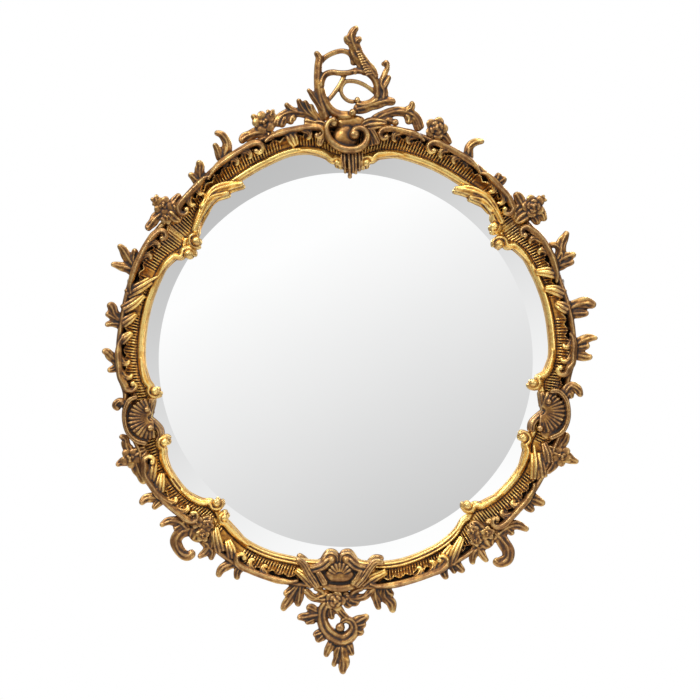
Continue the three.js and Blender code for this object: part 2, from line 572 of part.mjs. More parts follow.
// Carved ornaments, in the order in which they are laid. A later one is cut to seat on those before it.
const ornaments = {
  crest_cartouche: [
    crest([[-16, 16, 14], [0, 8, 18], [18, 8, 16]], -10, 10),
    crest([[-14, 24, 9], [8, 28, 11], [28, 22, 12]], -10, 11),
    crest(
      [
        [-12, 32, 3], [-20, 30, 3], [-25, 23, 3], [-24.5, 13, 3.4], [-19, 2, 3.8], [-8, -6, 4],
      ],
      0,
      8,
    ),
    crest(
      [
        [-8, -6, 4], [4, -9, 4.2], [18, -6.5, 4.2], [26.5, 0.5, 4], [28.8, 9, 3.6], [25.7, 17, 3.4],
        [18, 20, 3],
      ],
      0,
      8,
    ),
    crestBall(11.8, 11.5, 7.6, -2),
    crestBall(-17.4, 27, 4.8, 0),
  ],
  crest_shell_drop: [
    crest([[7, -6, 16], [8, -22, 13], [6, -37, 5]], -15, 5),
    crest([[3, -8, 5], [4, -25, 5], [5.5, -43, 3.5]], -14, 6),
    crest([[-4, -10, 4.4], [-2.5, -24, 4.4], [-0.8, -37, 3]], -15, 5),
    crest([[10, -8, 5], [12, -24, 4.6], [13.4, -38, 3]], -15, 5),
    crest([[17, -10, 4.4], [19.5, -22, 4], [21, -31, 3]], -15, 5),
  ],
  base_clasp: [
    hungBall(-18.8, -24.5, 8, -10),
    hungBall(1, -24.5, 8, -10),
    hung([[-19, -24, 8], [-32, -13, 8], [-46, -9, 7], [-58, -10, 5]], -8, 7),
    hung([[1, -24, 8], [14, -13, 8], [28, -9, 7], [40, -11, 5]], -8, 7),
    hung([[-66, -24, 4], [-57, -17, 5], [-49, -4, 6], [-41, 8, 6], [-36, 16, 4]], -2, 7),
    hung([[52, -18, 4], [40, -19, 5], [32, -11, 5.5], [24, 1, 6], [12, 14, 6]], -2, 7),
    hung([[-8, -14, 8], [-8, -2, 15], [-8, 9, 16], [-8, 20, 12]], -8, 7),
    hung([[-44, -4, 8], [-8, 4, 12], [28, -4, 8]], -5, 8),
  ],
  side_shell_left: [
    leaf([[191.5, -3, 13], [194, 1, 14], [197, 3, 14], [200, -1, 13], [202.5, -7, 11]], -9, 6),
    leaf(
      [
        [190, -8, 3.6], [190.4, 3, 3.6], [192.4, 12, 3.6], [195.5, 17, 3.4], [198.5, 17, 3.4],
        [201, 11, 3.6], [203, -2, 3.6],
      ],
      -3,
      7,
    ),
    leaf([[190.8, -25, 4], [192.6, -22, 4.4], [194.4, -18, 4], [196.5, -13, 3.6]], -13, 7),
    leaf(
      [
        [196.5, -13, 3.6], [198.5, -19, 4], [200.6, -22, 4.4], [202.6, -19, 4], [203.4, -12, 3.6],
      ],
      -13,
      7,
    ),
    leaf([[192, 11, 5], [190.4, 17, 4.6], [191.2, 24, 3.8], [192.4, 19, 3.4]], -3, 7),
  ],
  side_shell_right: [
    leaf([[349.5, -4, 12], [347, 0, 14], [344, 3, 14], [341, -1, 13], [338.6, -7, 11]], -9, 6),
    leaf(
      [
        [351.2, -14, 3.6], [351.6, -2, 3.6], [350.2, 8, 3.6], [347.6, 15, 3.4], [344.6, 18, 3.4],
        [341.6, 15, 3.6], [338.8, 2, 3.6],
      ],
      -3,
      7,
    ),
    leaf([[351, -24, 4], [349.4, -21, 4.4], [347.4, -18, 4], [345.6, -13, 3.6]], -13, 7),
    leaf([[345.6, -13, 3.6], [343.4, -20, 4.2], [341, -24, 4.8], [338.6, -21, 4.4]], -13, 7),
    leaf([[350.6, 6, 6], [353.4, 13, 5.5], [352.2, 26, 4.4], [351, 29, 3.4]], -3, 7),
    leaf([[350, 8, 5], [351.4, 14, 4.6], [350.2, 17, 3.4]], -3, 7),
  ],
  crest_openwork: [
    crest([
      [-26, 30, 6], [-31, 46, 5.5], [-35, 62, 5], [-37, 84, 4.6], [-36.5, 104, 4.4], [-35.5, 115, 4.2],
      [-41, 123, 2.6],
    ]),
    crest([
      [-36.5, 106, 3.6], [-29, 114, 2.8], [-17, 121, 2.6], [-2, 123.5, 2.6], [6, 120, 2.8],
      [10, 113, 3.2], [11.5, 104, 4],
    ]),
    crest([[-30, 42, 4], [-36, 52, 4], [-44, 64, 3.4], [-51, 73, 2.4]]),
    crest([
      [13, 97, 3.5], [4, 94.5, 3], [-8, 94, 3], [-18, 95, 3], [-27, 92, 3], [-31.5, 84, 3],
      [-32.5, 74, 3.2],
    ]),
    crest([
      [-32.5, 76, 3.2], [-30.5, 64, 3.6], [-26, 54, 4], [-19, 44, 4.6], [-9, 38, 5.4], [4, 37, 5.4],
      [14, 40, 5],
    ]),
    crest([[-1, 93, 2.4], [-7, 80, 2.4], [-13, 71, 2.4], [-20, 62, 2.2], [-26, 56, 2.6]], carveLift, 4),
    crest(
      [[-0.5, 83, 1.8], [-5.6, 75, 1.8], [-5.4, 67, 1.9], [-0.5, 60, 2], [5.7, 56.6, 2], [13, 56, 2.2]],
      carveLift,
      4,
    ),
    crest(
      [[-6, 76, 2], [-0.5, 82.5, 2], [10, 83.5, 2], [22.6, 79.7, 2], [32, 74, 2], [41, 67, 2.6]],
      carveLift,
      4,
    ),
    crest([
      [8, 97, 3.4], [16, 97, 3.4], [26, 95.5, 3.6], [36, 89, 3.8], [41.5, 79, 4], [43, 69, 4],
      [42, 58, 4],
    ]),
    crest([
      [32, 92, 7], [24, 104, 8], [18, 115, 7.6], [13, 126, 7], [9, 136, 6.4], [8, 144, 5],
      [11, 151, 4], [17, 155.5, 2.6],
    ]),
    crest([[9, 134, 4], [2, 138, 4.4], [0, 144, 3]]),
    crest([[12, 134, 4], [18, 139, 3.6], [22, 140, 2.6]]),
    crest([[20, 112, 6], [32, 100, 6], [41, 86, 5]]),
    crest([
      [49, 56, 5], [51, 68, 5], [47.5, 80, 4], [52, 93, 3.2], [55.5, 101, 2.8], [54, 108, 2.6],
      [50, 107, 2.2],
    ]),
    crest([[50, 72, 3.6], [55, 83, 3.4], [59.5, 91, 2]]),
    crest([[10, 44, 7], [24, 48, 7], [40, 53, 6.5], [55, 56.5, 5.5], [67, 55.5, 4]]),
    crest([[13, 54, 3.4], [22, 52, 4], [34, 55, 4], [44, 62, 5]]),
    crestBall(9.5, 41, 5, -5),
    crestBall(15.7, 58, 4, -9),
  ],
  crest_foliage_left: [
    crest([
      [-30, 22, 6], [-40, 33, 5], [-50, 39, 4.6], [-62, 41.5, 4.4], [-77, 41, 4.4], [-88, 34, 4.4],
      [-92, 22, 4.4],
    ]),
    crest([[-30, 22, 6], [-44, 26, 5], [-56, 26, 4]]),
    crest([[-36, 30, 5], [-44, 42, 3.6], [-47, 53, 2.2]]),
    crest([[-40, 34, 4], [-50, 46, 3.6], [-55, 58, 2.2]]),
    crest([[-50, 38, 4], [-58, 48, 3.6], [-64, 60, 2.4]]),
    crest([[-60, 41, 4], [-72, 45, 3.4], [-81, 54, 2.4]]),
  ],
  crest_foliage_right: [
    crest([
      [34, 22, 7], [44, 34, 5.6], [56, 40, 5], [73, 43, 4.8], [86, 40, 4.8], [95, 32, 4.8],
      [100, 18, 4.8],
    ]),
    crest([[38, 18, 5], [46, 28, 4], [56, 31, 4], [67, 27, 4]]),
    crestBall(66, 28, 5, -9),
    crest([[78, 42, 4], [87, 48, 3.6], [89, 57, 2.2]]),
  ],
  pendant_rose: [
    hung([[-8, 16, 12], [-9, 28, 13], [-10, 38, 9]], -11, 7),
    hungBall(-15, 32, 8, -4),
    hung([[0, 24, 7], [8, 32, 6], [19, 35, 5]]),
    hung([[-2, 30, 6], [4, 37, 5], [9, 39, 4]]),
    hung([[-20, 20, 6], [-33, 27, 5], [-43, 31, 4]]),
  ],
  pendant_scroll: [
    hung([[-24, 34, 6], [-31, 46, 6.4], [-31, 59, 7], [-26, 71, 8], [-16, 80, 9], [-4, 84, 9]], -11, 8),
    hung([[-6, 84, 9], [5, 80, 8.4], [11, 70, 7], [8, 61, 5.4], [0, 58, 4.4], [-7, 62, 3.4]], -11, 8),
    hungBall(-7.3, 68, 6.5, -8),
    hung([[-13, 40, 5], [-5, 50, 4.4], [3, 57, 4.4]]),
    hung([[-30, 50, 6], [-42, 52, 7], [-52, 54, 5.5], [-65, 55.5, 3.4]]),
    hung([[-36, 48, 5], [-46, 43, 5], [-53, 41, 3]]),
    hung([[-40, 56, 5], [-48, 60, 4], [-54, 63, 2.6]]),
    hung([[-28, 72, 5], [-37, 77, 4.4], [-44, 78.5, 2.6]]),
    hung([[-28, 76, 5], [-35, 83, 5], [-39, 88, 3]]),
    hung([[9, 65, 6], [20, 58, 5.6], [31, 52, 3.6]]),
    hung([[10, 66, 5], [20, 65, 4.6], [27.5, 63, 3]]),
    hung([[10, 70, 5], [20, 74, 4.4], [25, 75, 2.8]]),
    hung([[-6, 90, 7], [-4, 106, 7], [-3, 118, 6], [-4, 131, 3]]),
    hung([[-8, 92, 5], [-12, 108, 4], [-16.5, 121, 2.8]]),
    hung([[-18, 86, 6], [-23, 98, 4.4], [-27, 108, 2.6]]),
    hung([[0, 88, 6], [6, 98, 4.6], [9.6, 106, 2.8]]),
  ],
  cluster_seven: [
    leaf([[229.5, -14, 8], [229.5, 2, 13], [229.5, 18, 14], [229.5, 28, 12]], -7, 7),
    leaf([
      [227.6, 14, 7], [226.4, 30, 6.5], [227, 43, 6.4], [229, 49.5, 6], [231, 47, 5.5], [231.7, 36, 4],
    ]),
    leaf([[228, 22, 6], [224.4, 21, 6], [222.6, 28, 5], [221.8, 44, 2.8]]),
    leaf([[225, 20, 5], [224.6, 34, 3]]),
    leaf([[231, 20, 6], [233.6, 20, 5.4], [233.8, 30, 4.4], [233.3, 41, 2.4]]),
    leaf([[232.4, 20, 6], [235.2, 23, 4.6], [236, 34, 2.8]]),
    bud(230.8, 13, 6.4, -4),
    bud(227.6, 5, 6.4, -4),
    bud(230.2, -2, 6.4, -4),
  ],
  cluster_five: [
    leaf([[307.8, -16, 8], [307.8, 2, 13], [307.8, 18, 15], [307.8, 28, 13]], -7, 7),
    leaf([
      [310.4, 12, 7], [311, 30, 7], [310.4, 45, 7], [308.8, 53, 6.4], [307, 50, 5.6], [306.7, 42, 4.4],
    ]),
    leaf([[309, 22, 6], [314, 22, 6], [316.2, 30, 5], [317.1, 45, 3]]),
    leaf([[313.6, 20, 5], [314, 35, 3.4]]),
    leaf([[307, 8, 6], [305.4, 16, 6], [305.1, 41, 2.6]]),
    leaf([[307, 20, 6], [303.4, 21, 5], [301.8, 33, 3]]),
    bud(309.4, 10, 6.4, -4),
    bud(307, -4, 6.4, -4),
    bud(305.8, 8, 6.4, -4),
  ],
  spray_top_left: [
    leaf([[108.6, 20, 12], [109, 34, 11]]),
    bud(109, 46, 12, -8),
    leaf([[108.6, 40, 6], [106.2, 43, 5]]),
    bud(107, 53, 5.6),
    leaf([[110, 46, 6], [111, 62, 2.8]]),
    leaf([[108.6, 32, 6], [112, 37, 6], [114.4, 37, 5.4], [116, 33, 3]]),
  ],
  rose_top_right: [
    leaf([[68.8, 22, 12], [68.6, 36, 11]]),
    bud(68.6, 43, 12, -8),
    leaf([[68, 44, 6], [66.6, 52, 4]]),
    leaf([[68.4, 36, 7], [66, 37, 5.4], [64, 31, 3]]),
  ],
  spray_left: [
    leaf([[139.8, -2, 8], [139.8, 12, 11], [139.8, 22, 10]], -7, 7),
    bud(139.8, 30, 9, -6),
    bud(139.9, 41, 5.6),
    bud(138.2, 16, 6.4, -5),
    bud(141.4, 16, 6.4, -5),
    leaf([[139, 20, 6], [136.6, 23, 5], [134.8, 24, 4]]),
    leaf([[140.6, 25, 6], [144, 28, 5.4], [147, 28, 4.4]]),
  ],
  rose_right: [
    leaf([[39.3, 2, 9], [39.3, 16, 12], [39.3, 28, 11]], -7, 7),
    bud(39.3, 35, 12, -7),
    bud(39.3, 47, 5.4),
    leaf([[40, 24, 6], [43, 27, 6], [44.8, 29, 4]]),
    leaf([[39, 36, 6], [36.6, 38, 5], [34.8, 35, 4]]),
    leaf([[38.6, 24, 6], [36.4, 27, 5], [35, 25, 3.6]]),
  ],
  spray_lower_left: [
    leaf([[204, 2, 8], [204.3, 14, 10], [204.5, 26, 9]], -7, 7),
    bud(204.5, 27, 10, -7),
    leaf([[204.5, 28, 8], [204.7, 49, 2]]),
    leaf([[204, 22, 7], [201.6, 26, 5.4], [199.8, 24, 4.4], [198.5, 30, 2.8]]),
    leaf([[205, 22, 7], [208.6, 25, 6], [211.8, 25, 4.6]]),
  ],
  spray_lower_right: [
    leaf([[336, 2, 8], [336, 14, 10], [336, 26, 9]], -7, 7),
    bud(336, 27, 9.6, -7),
    leaf([[336.1, 26, 9], [336.3, 51, 2]]),
    leaf([[337, 19, 7], [340, 21.5, 5.4], [342, 22, 4]]),
    leaf([[335, 19, 7], [332.4, 20, 6], [330.4, 18, 4.6]]),
  ],
};

// Hardware on the back. The screws through the board sit in the rails' back land.
const boardScrewAngles = [65, 115, 173, 214, 250, 290, 325, 4];
const hardware = {};
boardScrewAngles.forEach((angle, i) => {
  const at = polar(angle, screwCircle, 0);
  hardware["board_screw_" + (i + 1)] = [sunkScrew(at.x, at.z)];
});
for (const [side, x] of [
  ["left", -hangerSide],
  ["right", hangerSide],
]) {
  [0, 1].forEach((i) => {
    const z = hangerUp - strapLength + strapScrewEnd + i * strapScrewPitch;
    hardware["strap_screw_" + side + "_" + (i + 1)] = [strapScrew(x, z)];
  });
  hardware["hanger_ring_" + side] = [hangerRing(x)];
  hardware["hanger_strap_" + side] = [hangerStrap(x)];
}
hardware.bumper_left = [bumper(240)];
hardware.bumper_right = [bumper(300)];

const gilt = { color: 0xb08038, roughness: 0.38, metalness: 0.85 };
const finishes = {
  mirror_plate: { color: 0xd9dee2, roughness: 0.03, metalness: 1 },
  backing_board: { color: 0x6d5138, roughness: 0.8, metalness: 0 },
};
const steel = { color: 0x9a9c9e, roughness: 0.4, metalness: 0.9 };
const rubber = { color: 0x2a2928, roughness: 0.9, metalness: 0 };

function finishOf(name) {
  if (finishes[name]) return finishes[name];
  if (name.startsWith("bumper")) return rubber;
  if (hardware[name]) return steel;
  return gilt;
}

// The largest body of a cut solid; a cut can leave loose slivers.
function largest(made) {
  const bodies = made.decompose();
  return bodies.reduce((best, body) => (body.volume() > best.volume() ? body : best));
}

function build(shapes, grow) {
  return shapes.map((shape) => shape(grow)).reduce((sum, next) => sum.add(next));
}

function apart(a, b) {
  const one = a.boundingBox();
  const two = b.boundingBox();
  return [0, 1, 2].some((k) => one.min[k] > two.max[k] || two.min[k] > one.max[k]);
}

const order = {
  ...hardware,
  mirror_plate: [plate],
  backing_board: [board],
  ...rails,
  ...ornaments,
};

const mirror = new THREE.Group();
mirror.name = "rococo_wall_mirror";
const seats = [];
for (const [name, shapes] of Object.entries(order)) {
  let body = build(shapes, 0);
  for (const seat of seats) if (!apart(body, seat)) body = body.subtract(seat);
  body = largest(body);
  seats.push(build(shapes, gap));
  const made = body.getMesh();
  const geometry = new THREE.BufferGeometry();
  const positions = new Float32Array(made.vertProperties);
  geometry.setAttribute("position", new THREE.BufferAttribute(positions, made.numProp));
  geometry.setIndex(new THREE.BufferAttribute(made.triVerts, 1));
  geometry.computeVertexNormals();
  const mesh = new THREE.Mesh(geometry, new THREE.MeshStandardMaterial(finishOf(name)));
  mesh.name = name;
  mirror.add(mesh);
}

export default mirror;
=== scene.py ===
import math

import bmesh
import bpy
import numpy as np
from mathutils import Matrix, Vector


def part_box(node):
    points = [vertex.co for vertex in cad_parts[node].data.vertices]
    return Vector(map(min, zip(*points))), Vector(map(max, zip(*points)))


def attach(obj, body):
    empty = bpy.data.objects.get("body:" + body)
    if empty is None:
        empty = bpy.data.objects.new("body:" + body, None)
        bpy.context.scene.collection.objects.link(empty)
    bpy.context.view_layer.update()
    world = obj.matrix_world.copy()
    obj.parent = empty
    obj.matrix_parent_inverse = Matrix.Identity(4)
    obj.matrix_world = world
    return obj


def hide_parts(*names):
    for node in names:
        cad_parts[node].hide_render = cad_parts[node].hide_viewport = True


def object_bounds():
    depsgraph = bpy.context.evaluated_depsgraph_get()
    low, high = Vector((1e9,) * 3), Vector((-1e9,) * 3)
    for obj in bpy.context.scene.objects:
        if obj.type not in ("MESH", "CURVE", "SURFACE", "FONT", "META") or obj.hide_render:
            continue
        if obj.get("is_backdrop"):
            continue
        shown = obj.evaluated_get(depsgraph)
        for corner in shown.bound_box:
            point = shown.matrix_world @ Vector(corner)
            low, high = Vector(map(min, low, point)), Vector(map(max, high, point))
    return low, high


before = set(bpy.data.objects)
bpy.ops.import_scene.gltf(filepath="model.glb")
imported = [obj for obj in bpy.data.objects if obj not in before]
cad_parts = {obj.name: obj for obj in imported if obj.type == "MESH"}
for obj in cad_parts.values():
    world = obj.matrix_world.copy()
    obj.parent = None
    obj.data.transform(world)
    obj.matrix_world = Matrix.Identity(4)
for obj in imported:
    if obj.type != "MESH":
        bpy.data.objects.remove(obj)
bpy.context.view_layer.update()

# The carving is drawn in millimetres, seen from the front: x to the right, y up, z towards the viewer.
# Depth z starts at the back of the board. onTheWall turns the drawing into the frame's metres.
mm = 0.001
onTheWall = Matrix.Rotation(math.radians(90), 4, "X") @ Matrix.Scale(mm, 4)

plateLow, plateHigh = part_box("mirror_plate")
boardLow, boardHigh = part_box("backing_board")
plateRadius = (plateHigh.x - plateLow.x) / 2 / mm
boardRadius = (boardHigh.x - boardLow.x) / 2 / mm
plateBack = -plateHigh.y / mm
plateFront = -plateLow.y / mm
shelf = plateFront + 0.3  # the carving starts just clear of the plate
rimFront = -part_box("rail_left")[0].y / mm
rimHeight = rimFront - shelf
bevel = {"width": 38, "drop": 2.4}

voxel = 0.9  # mm, grain of the fused carving
strokeGrain = 0.9  # mm, along and around a stroke before it is fused
lobeLength = 15  # mm, the shortest lobe a leaf is given
print("frame loaded: plate radius %.1f mm, rim crest %.1f mm deep" % (plateRadius, rimFront))


# Drawing helpers

# Rows of [angle, height beyond the plate's edge, half width] to [x, y, half width].
def onRing(rows):
    rows = np.array(rows, float)
    turn = np.radians(rows[:, 0])
    radius = plateRadius + rows[:, 1]
    return np.column_stack([radius * np.cos(turn), radius * np.sin(turn), rows[:, 2]])


# Rows of [x, height above the plate's top, half width].
def onCrest(rows):
    rows = np.array(rows, float)
    return np.column_stack([rows[:, 0], plateRadius + rows[:, 1], rows[:, 2]])


# Rows of [x, drop below the plate's bottom, half width].
def onDrop(rows):
    rows = np.array(rows, float)
    return np.column_stack([rows[:, 0], -plateRadius - rows[:, 1], rows[:, 2]])


# The cubic from a to b as t goes from 0 to 1, which leaves with slope ma and arrives with mb.
def cubic(t, a, b, ma, mb):
    fromA, toB = 2 * t**3 - 3 * t**2 + 1, 3 * t**2 - 2 * t**3
    leaving, arriving = t**3 - 2 * t**2 + t, t**3 - t**2
    return fromA * a + leaving * ma + toB * b + arriving * mb


# A smooth curve through values at their knots.
def through(knots, values, at):
    slope = np.gradient(values, knots, axis=0)
    i = np.clip(np.searchsorted(knots, at) - 1, 0, len(knots) - 2)
    span = knots[i + 1] - knots[i]
    t = (at - knots[i]) / span
    if values.ndim > 1:
        t, span = t[:, None], span[:, None]
    return cubic(t, values[i], values[i + 1], slope[i] * span, slope[i + 1] * span)


# The height at an angle from rows of [angle, height], held level beyond the first and last row.
def heightAt(rows, angle):
    rows = np.array(rows, float)
    return through(rows[:, 0], rows[:, 1], np.clip(angle, rows[0, 0], rows[-1, 0]))


# Unit vectors to the left of the ways given.
def leftOf(run):
    run = run / np.maximum(np.hypot(run[:, 0], run[:, 1]), 1e-6)[:, None]
    return np.column_stack([-run[:, 1], run[:, 0]])


def ease(low, high, value):
    t = np.clip((value - low) / (high - low), 0, 1)
    return t * t * (3 - 2 * t)


# A flat grid whose every point (u along, v around) is moved by shape, rolled shut and capped.
def rolled(carving, columns, around, shape):
    sheet = bmesh.new()
    bmesh.ops.create_grid(sheet, x_segments=columns, y_segments=around, size=0.5)
    uv = np.array([v.co[:2] for v in sheet.verts]) + 0.5
    for v, place in zip(sheet.verts, shape(uv[:, 0], uv[:, 1])):
        v.co = place
    bmesh.ops.remove_doubles(sheet, verts=sheet.verts, dist=0.001)
    edges = [e for e in sheet.edges if e.is_boundary]
    bmesh.ops.holes_fill(sheet, edges=edges, sides=0)
    bmesh.ops.recalc_face_normals(sheet, faces=sheet.faces)
    part = bpy.data.meshes.new("part")
    sheet.to_mesh(part)
    sheet.free()
    carving.from_mesh(part)
    bpy.data.meshes.remove(part)


# Front reliefs across a stroke, s from -1 to 1 over its width and u from 0 to 1 along it.
def plain(s, u, lobes):
    return np.ones_like(s)


def fluted(s, u, lobes):  # three ridges that run with the leaf
    return 0.84 + 0.2 * np.cos(2 * np.pi * 1.55 * s)


def grooved(s, u, lobes):  # the broad band of a C-scroll, a little hollow along its middle
    return 0.89 - 0.15 * np.cos(2 * np.pi * s)


def ridged(s, u, lobes):  # one broad ridge beside the middle
    return 0.72 + 0.3 * np.exp(-(((s + 0.22) / 0.4) ** 2))


def veined(s, u, lobes):  # a midrib with veins into each lobe
    rib = 0.34 * np.exp(-((s / 0.2) ** 2))
    side = 0.09 * np.cos(2 * np.pi * (1.3 * lobes * u - 0.9 * np.abs(s)))
    return 0.66 + rib + 0.16 * s * s + side * (1 - np.exp(-((s / 0.3) ** 2)))


# A tapering stroke with a flat back through [x, y, half width] rows.
# lift is the middle of its thickness from the rim's crest and half is half that thickness.
# lobes and notch cut a leaf's edge, tip raises the stroke's end and bow raises its middle.
def stroke(carving, rows, lift, half, relief, lobes=0, notch=0.22, tip=0.0, bow=0.0):
    steps = np.hypot(*np.diff(rows[:, :2], axis=0).T)
    knots = np.concatenate([[0], np.cumsum(np.maximum(steps, 0.2))])
    length = knots[-1]
    lobes = min(lobes, max(1, int(length / lobeLength))) if lobes else 0
    widest = rows[:, 2].max()

    # the share of the full width at a distance from an end that is rounded with a radius
    def rounded(away, radius):
        return np.sqrt(np.clip(1 - (1 - np.clip(away / radius, 0, 1)) ** 2, 0, 1))

    def shape(u, v):
        along = u * length
        x, y, w = through(knots, rows, along).T
        ahead = through(knots, rows[:, :2], np.clip(along + 0.4, 0, length))
        behind = through(knots, rows[:, :2], np.clip(along - 0.4, 0, length))
        side = leftOf(ahead - behind)
        rounding = rounded(length - along, rows[-1, 2]) * rounded(along, rows[0, 2])
        turn = 2 * np.pi * v
        s = np.cos(turn)
        front = np.sin(turn)
        edge = w
        if lobes:
            edge = w * (1.06 - notch * np.abs(np.cos(np.pi * (lobes * u + 0.25 * np.sign(s)))) ** 3)
        across = edge * s * rounding
        thick = half * (0.4 + 0.6 * w / widest) * rounding
        z = np.where(
            front > 0,
            thick * relief(s, u, lobes) * np.abs(front) ** 0.8,
            -half * rounding * np.abs(front) ** 0.5,
        )
        z += tip * u**3 + bow * np.sin(np.pi * u)
        return np.column_stack([x + side[:, 0] * across, y + side[:, 1] * across, rimFront + lift + z])

    columns = max(6, int(length / strokeGrain))
    around = int(np.clip(widest * 4 / strokeGrain, 12, 40))
    rolled(carving, columns, around, shape)


def ball(carving, x, y, radius, lift, flat=1.0):
    place = Matrix.Translation((x, y, rimFront + lift)) @ Matrix.Diagonal((1, 1, flat, 1))
    bmesh.ops.create_uvsphere(carving, u_segments=20, v_segments=12, radius=radius, matrix=place)


def ringPoint(angle, height):
    turn = math.radians(angle)
    radius = plateRadius + height
    return radius * math.cos(turn), radius * math.sin(turn)


# The sight moulding's end: it runs in from one side, hooks round and closes on a ball.
def hook(carving, sight, angle, height, radius, side):
    turn = math.degrees(1 / plateRadius)
    rows = []
    for far, width in ((10, 1.4), (8, 2.6), (6, 3.8), (4.2, 4.4), (3, 4.4)):
        at = angle + side * far
        rows.append([at, 4.5 - sight(at), width])
    curl = [(1.05, 0.95, 4.2), (-0.1, 1.15, 3.8), (-1.0, 0.45, 3.4), (-0.95, -0.45, 3.0), (-0.2, -0.95, 2.6)]
    for along, up, width in curl:
        rows.append([angle + side * along * radius * turn, height + up * radius, width])
    stroke(carving, onRing(rows), -11.5, 6, ridged)
    x, y = ringPoint(angle, height)
    ball(carving, x, y, 0.76 * radius, -8)


# A C-scroll on the rim from a thin end to a curled one, with two lobes hanging from its inner side.
def rimScroll(carving, rim, start, stop):
    side = 1 if stop > start else -1
    rows = [[start, rim(start) - 9, 1.8], [start + 1.6 * side, rim(start) - 5, 2.8]]
    for t in (0.25, 0.5, 0.75):
        angle = start + t * (stop - start)
        rows.append([angle, rim(angle) - 4.0, 4.4])
    crest = rim(stop)
    rows += [
        [stop - 2.0 * side, crest - 4.4, 5.0],
        [stop - 0.5 * side, crest - 8, 4.4],
        [stop - 0.1 * side, crest - 14, 3.8],
        [stop - 1.0 * side, crest - 19, 3.2],
        [stop - 2.1 * side, crest - 18.5, 2.6],
    ]
    stroke(carving, onRing(rows), -3.4, 6.5, ridged)
    x, y = ringPoint(stop - 1.9 * side, crest - 16)
    ball(carving, x, y, 3.8, -2)
    for i in range(2):
        angle = stop - (4.2 + 3.7 * i) * side
        near = rim(angle)
        bend = [
            [angle - 2.4 * side, near - 4.5, 2.6],
            [angle - 0.8 * side, near - 6.5, 4.2],
            [angle + 0.5 * side, near - 11, 4.4],
            [angle + 0.5 * side, near - 17 + 1.5 * i, 3.4],
            [angle - 0.5 * side, near - 20 + 2 * i, 1.9],
        ]
        stroke(carving, onRing(bend), -6 - 0.8 * i, 5.5, fluted, tip=-3)


# A leaf that wraps the hollow: flutes side by side which meet at its tip.
def wrap(carving, rows):
    flutes = 3
    rows = onRing(rows)
    rows[:, 2] *= 1.45
    out = leftOf(np.gradient(rows[:, :2], axis=0))
    taper = np.linspace(1, 0.8, len(rows))
    for k in range(flutes):
        offset = 2 * (k + 0.5) / flutes - 1
        own = rows.copy()
        own[:, :2] += out * (offset * rows[:, 2] * taper)[:, None]
        own[:, 2] = rows[:, 2] / flutes * 1.25 * taper
        shorter = own[: len(own) - (1 if abs(offset) > 0.6 and len(own) > 3 else 0)]
        stroke(carving, shorter, -7 - 3 * offset * offset, 5, plain, tip=-3, bow=2.0)


# Rings of petals from the outside in, as (count, distance out, size, tilt). Distances and sizes are
# shares of the blossom's radius.
petals = {
    "rose": [(5, 0.62, 0.50, 38), (4, 0.36, 0.36, 58), (3, 0.18, 0.24, 75)],
    "daisy": [(5, 0.60, 0.46, 14), (3, 0.2, 0.2, 50)],
    "thickness": 0.17,
}


# Cupped petals round a bud.
def blossom(carving, x, y, radius, lift, turn=0.0, kind="rose"):
    middle = Matrix.Translation((x, y, rimFront + lift))
    for layer, (count, out, size, tilt) in enumerate(petals[kind]):
        for i in range(count):
            spin = middle @ Matrix.Rotation(turn + 2 * math.pi * (i + 0.5 * layer) / count, 4, "Z")
            push = Matrix.Translation((out * radius, 0, 0.12 * radius * layer))
            lean = Matrix.Rotation(-math.radians(tilt), 4, "Y")
            thick = petals["thickness"] * radius
            place = spin @ push @ lean @ Matrix.Diagonal((size * radius, 1.12 * size * radius, thick, 1))
            made = bmesh.ops.create_uvsphere(carving, u_segments=18, v_segments=10, radius=1, matrix=place)
            # the lip of each petal rolls outwards
            for v in made["verts"]:
                beyond = max(0, (spin.inverted() @ v.co).x / radius - out)
                v.co += spin.to_3x3() @ Vector((0.5 * beyond, 0, -0.9 * beyond * beyond)) * radius
    ball(carving, x, y, 0.2 * radius, lift + 0.42 * radius)
    ball(carving, x, y, 0.62 * radius, lift - 0.5 * radius, 0.7)


# The rails

sightBead = {"width": 9, "height": 12}
ribs = {"pitch": 3.9, "height": 2.3, "slant": 0.25}
scallops = {"length": 14.5, "depth": 4.0, "plump": 2.0}


